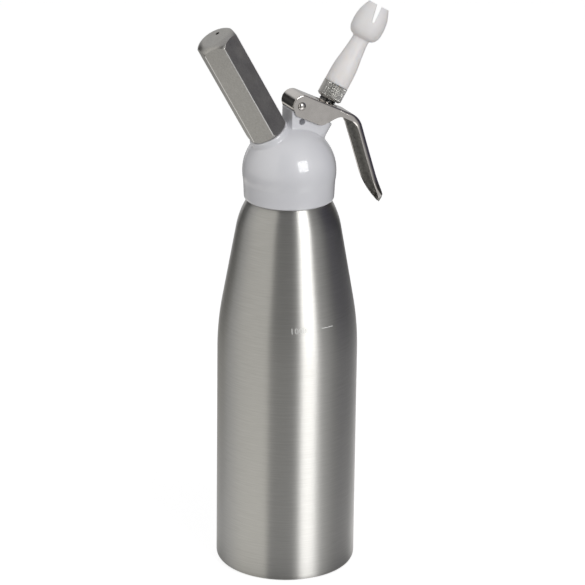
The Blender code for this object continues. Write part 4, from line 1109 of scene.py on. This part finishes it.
def make_tulip():
    """The moulded nozzle: a cup of four petals on a tube."""
    outer = smooth_line(tulip_side(0), 6)
    cup = smooth_line(tulip_side(CUP_WALL)[:6], 6)
    floor = tulip_side(0)[6][1] + CUP_WALL
    outline = outer + [(0.0055, TULIP_ROOT), (0.0055, 0.0596), (0.0032, 0.0596), (0.0032, floor)]
    outline += reversed(cup)
    item = loose("tulip_moulded", turned(outline, 128, NOZZLE_AXIS, ring=True))
    wedge = arc((0.00168, TULIP_TIP - NOTCH_DEPTH + NOTCH_HALF), NOTCH_HALF, 180, 360, 10)
    wedge += [(0.0019, TULIP_TIP + 0.002), (-0.0017, TULIP_TIP + 0.002)]
    cuts = []
    for index in range(2):
        at = NOZZLE_AXIS @ Matrix.Rotation(NOTCH_TURN + index * math.radians(90), 4, "Z")
        cuts.append(loose("notch_cut_%d" % index, prism(wedge, 0.013, at)))
    carve(item, cuts)
    edge_round(item, 0.0006, 3, 40)
    finish_piece(item, "nozzle", ["tulip_nozzle"], "white_plastic", sharp=60)


# Charger holder

HOLDER_TURN = math.radians(25.4)
STUD_FOOT = 0.03105
STUD_RADIUS = 0.0106
STUD_THREAD = thread(STUD_RADIUS, 0.0015, 0.0005, 0.0316, 0.0421)


def make_holder():
    """The holder: a hexagon bar turned round at both ends, bored and vented."""
    low = STUD_FOOT
    high = 0.1055
    flats = 0.0238
    corner = flats / math.sqrt(3)
    bar = [(0, high + 0.001), (corner, high + 0.001), (corner, low - 0.001), (0, low - 0.001)]
    item = loose("holder_bar", turned(bar, 6, HOLDER_AXIS @ Matrix.Rotation(HOLDER_TURN, 4, "Z")))
    item.data.materials.append(MATERIALS["satin_aluminium"])
    item.data.materials.append(MATERIALS["worn_edge_and_painted_highlight"])
    crown = corner + 0.0003
    top_round = 0.0065
    foot_round = 0.0028
    foot_rise = 0.0055
    shape = [(0, high)] + arc((crown - top_round, high - top_round), top_round, 88, 0, 20)
    shape += arc((crown - foot_round, low + foot_rise), foot_round, 0, -88, 14, foot_rise) + [(0, low)]
    # The rounded edges take slot 1, the lighter aluminium: partly wear, partly a painted highlight
    edge_round(item, 0.00035, 3, 12, 1)
    carve(item, [loose("crown_cut", turned(shape, 180, HOLDER_AXIS))], "INTERSECT")
    edge_round(item, 0.00022, 2, 22, 1)
    bore = [(0, 0.1030), (0.0104, 0.1030), (0.0104, 0.0428), (0.0109, 0.0428), (0.0109, 0.029), (0, 0.029)]
    vent = rod(0.0012, 0.005, 24, HOLDER_AXIS @ Matrix.Translation((0.0035, 0.0021, 0.105)))
    carve(item, [loose("bore_cut", turned(bore, 96, HOLDER_AXIS)), loose("vent_cut", vent)])
    finish_piece(item, "charger_holder", ["charger_holder"], "satin_aluminium", sharp=50, crisp=True)


def make_stud():
    """The threaded stud that the holder screws onto."""
    outline = [(0.0049, 0.0425), (0.0100, 0.0425)]
    outline += wall_points(STUD_RADIUS, 0.0420, 0.0312, 0.00015)
    outline += [(STUD_RADIUS, STUD_FOOT), (0.0077, STUD_FOOT), (0.0077, 0.0253)]
    outline += [(0.0022, 0.0253), (0.0022, 0.034), (0.0049, 0.034)]
    item = loose("stud_threaded", turned(outline, 96, HOLDER_AXIS, ring=True, shift=STUD_THREAD))
    finish_piece(item, "head", ["charger_stud"], "nickelled_brass", sharp=32)


def make_charger():
    """The gas charger: a drawn steel bulb with a crimped neck."""
    low = 0.0364
    top = low + 0.065
    radius = 0.00895
    neck = 0.0044
    outline = arc((0, top - radius), radius, 90, 0, 16)
    outline += arc((neck, low + 0.016), 0.00455, 0, -90, 12, rise=0.007)
    outline += [(neck, low + 0.0012), (0.0042, low + 0.0004), (0.0036, low), (0, low)]
    item = loose("charger_bulb", turned(outline, 72, HOLDER_AXIS))
    finish_piece(item, "charger_holder", ["gas_charger"], "turned_steel", sharp=40)


def make_spring():
    """The valve's coil under the collar; on the real whipper it shortens as the lever is squeezed."""
    low = 0.0288
    high = 0.04282
    coil = 0.0059
    curve = bpy.data.curves.new("spring_coil", "CURVE")
    curve.dimensions = "3D"
    curve.bevel_depth = 0.0005
    curve.bevel_resolution = 3
    curve.use_fill_caps = True
    spline = curve.splines.new("POLY")
    count = 240
    turns = 6
    spline.points.add(count)
    for index, spot in enumerate(spline.points):
        turn = 2 * math.pi * turns * index / count
        rise = low + (high - low) * index / count
        spot.co = (*(NOZZLE_AXIS @ Vector((coil * math.cos(turn), coil * math.sin(turn), rise))), 1)
    item = linked("spring_coil", mesh_of(curve))
    finish_piece(item, "head", ["valve_spring"], "turned_steel", sharp=60)
    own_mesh(item)


# Making everything

place_camera()
light_studio()
place_softbox("key", azimuth=12, elevation=25, distance=1.25, width=0.54, watts=7.2)
place_softbox("fill", azimuth=-100, elevation=20, distance=1.4, width=0.9, watts=2.7, shines=False)
lay_floor()

brushed_bottle()
satin_aluminium("satin_aluminium", (0.425, 0.413, 0.39), (0.55, 0.538, 0.513))
# A lighter copy of the holder's aluminium for its edges: wear and a painted highlight
satin_aluminium("worn_edge_and_painted_highlight", (0.86, 0.85, 0.82), (0.96, 0.95, 0.93))
white_enamel()
milky_plastic()
pressed_steel("polished_steel", 0.13, 0.08)
pressed_steel("polished_rivet", 0.08, 0.05)
raw_steel_and_painted_shade()
nickel_with_painted_knurl_shade()
turned_metal("turned_steel", (0.30, 0.30, 0.30), (0.48, 0.48, 0.48), 0.2, NOZZLE_AXIS)
# Steel painted dark, for the painted shade on the stem's thread under the ring
turned_metal("painted_shade_steel", (0.13, 0.13, 0.13), (0.34, 0.34, 0.34), 0.2, NOZZLE_AXIS)
turned_metal("nickelled_brass", (0.55, 0.49, 0.36), (0.66, 0.60, 0.46), 0.3, HOLDER_AXIS)
etched_mark()
plain_soft("seal_rubber", (0.030, 0.030, 0.030), (0.050, 0.050, 0.050), 0.7)
plain_soft("sleeve_plastic", (0.040, 0.040, 0.048), (0.060, 0.060, 0.070), 0.5)

for row in frame["record"]["subparts"]:
    node = NODES[row["node"]]
    node.data.materials.clear()
    node.data.materials.append(MATERIALS[row["material_slot"]])

make_bottle()
make_fill_mark()
make_head()
make_lever()
make_pin()
make_stem()
make_ring()
make_tulip()
make_holder()
make_stud()
make_charger()
make_spring()
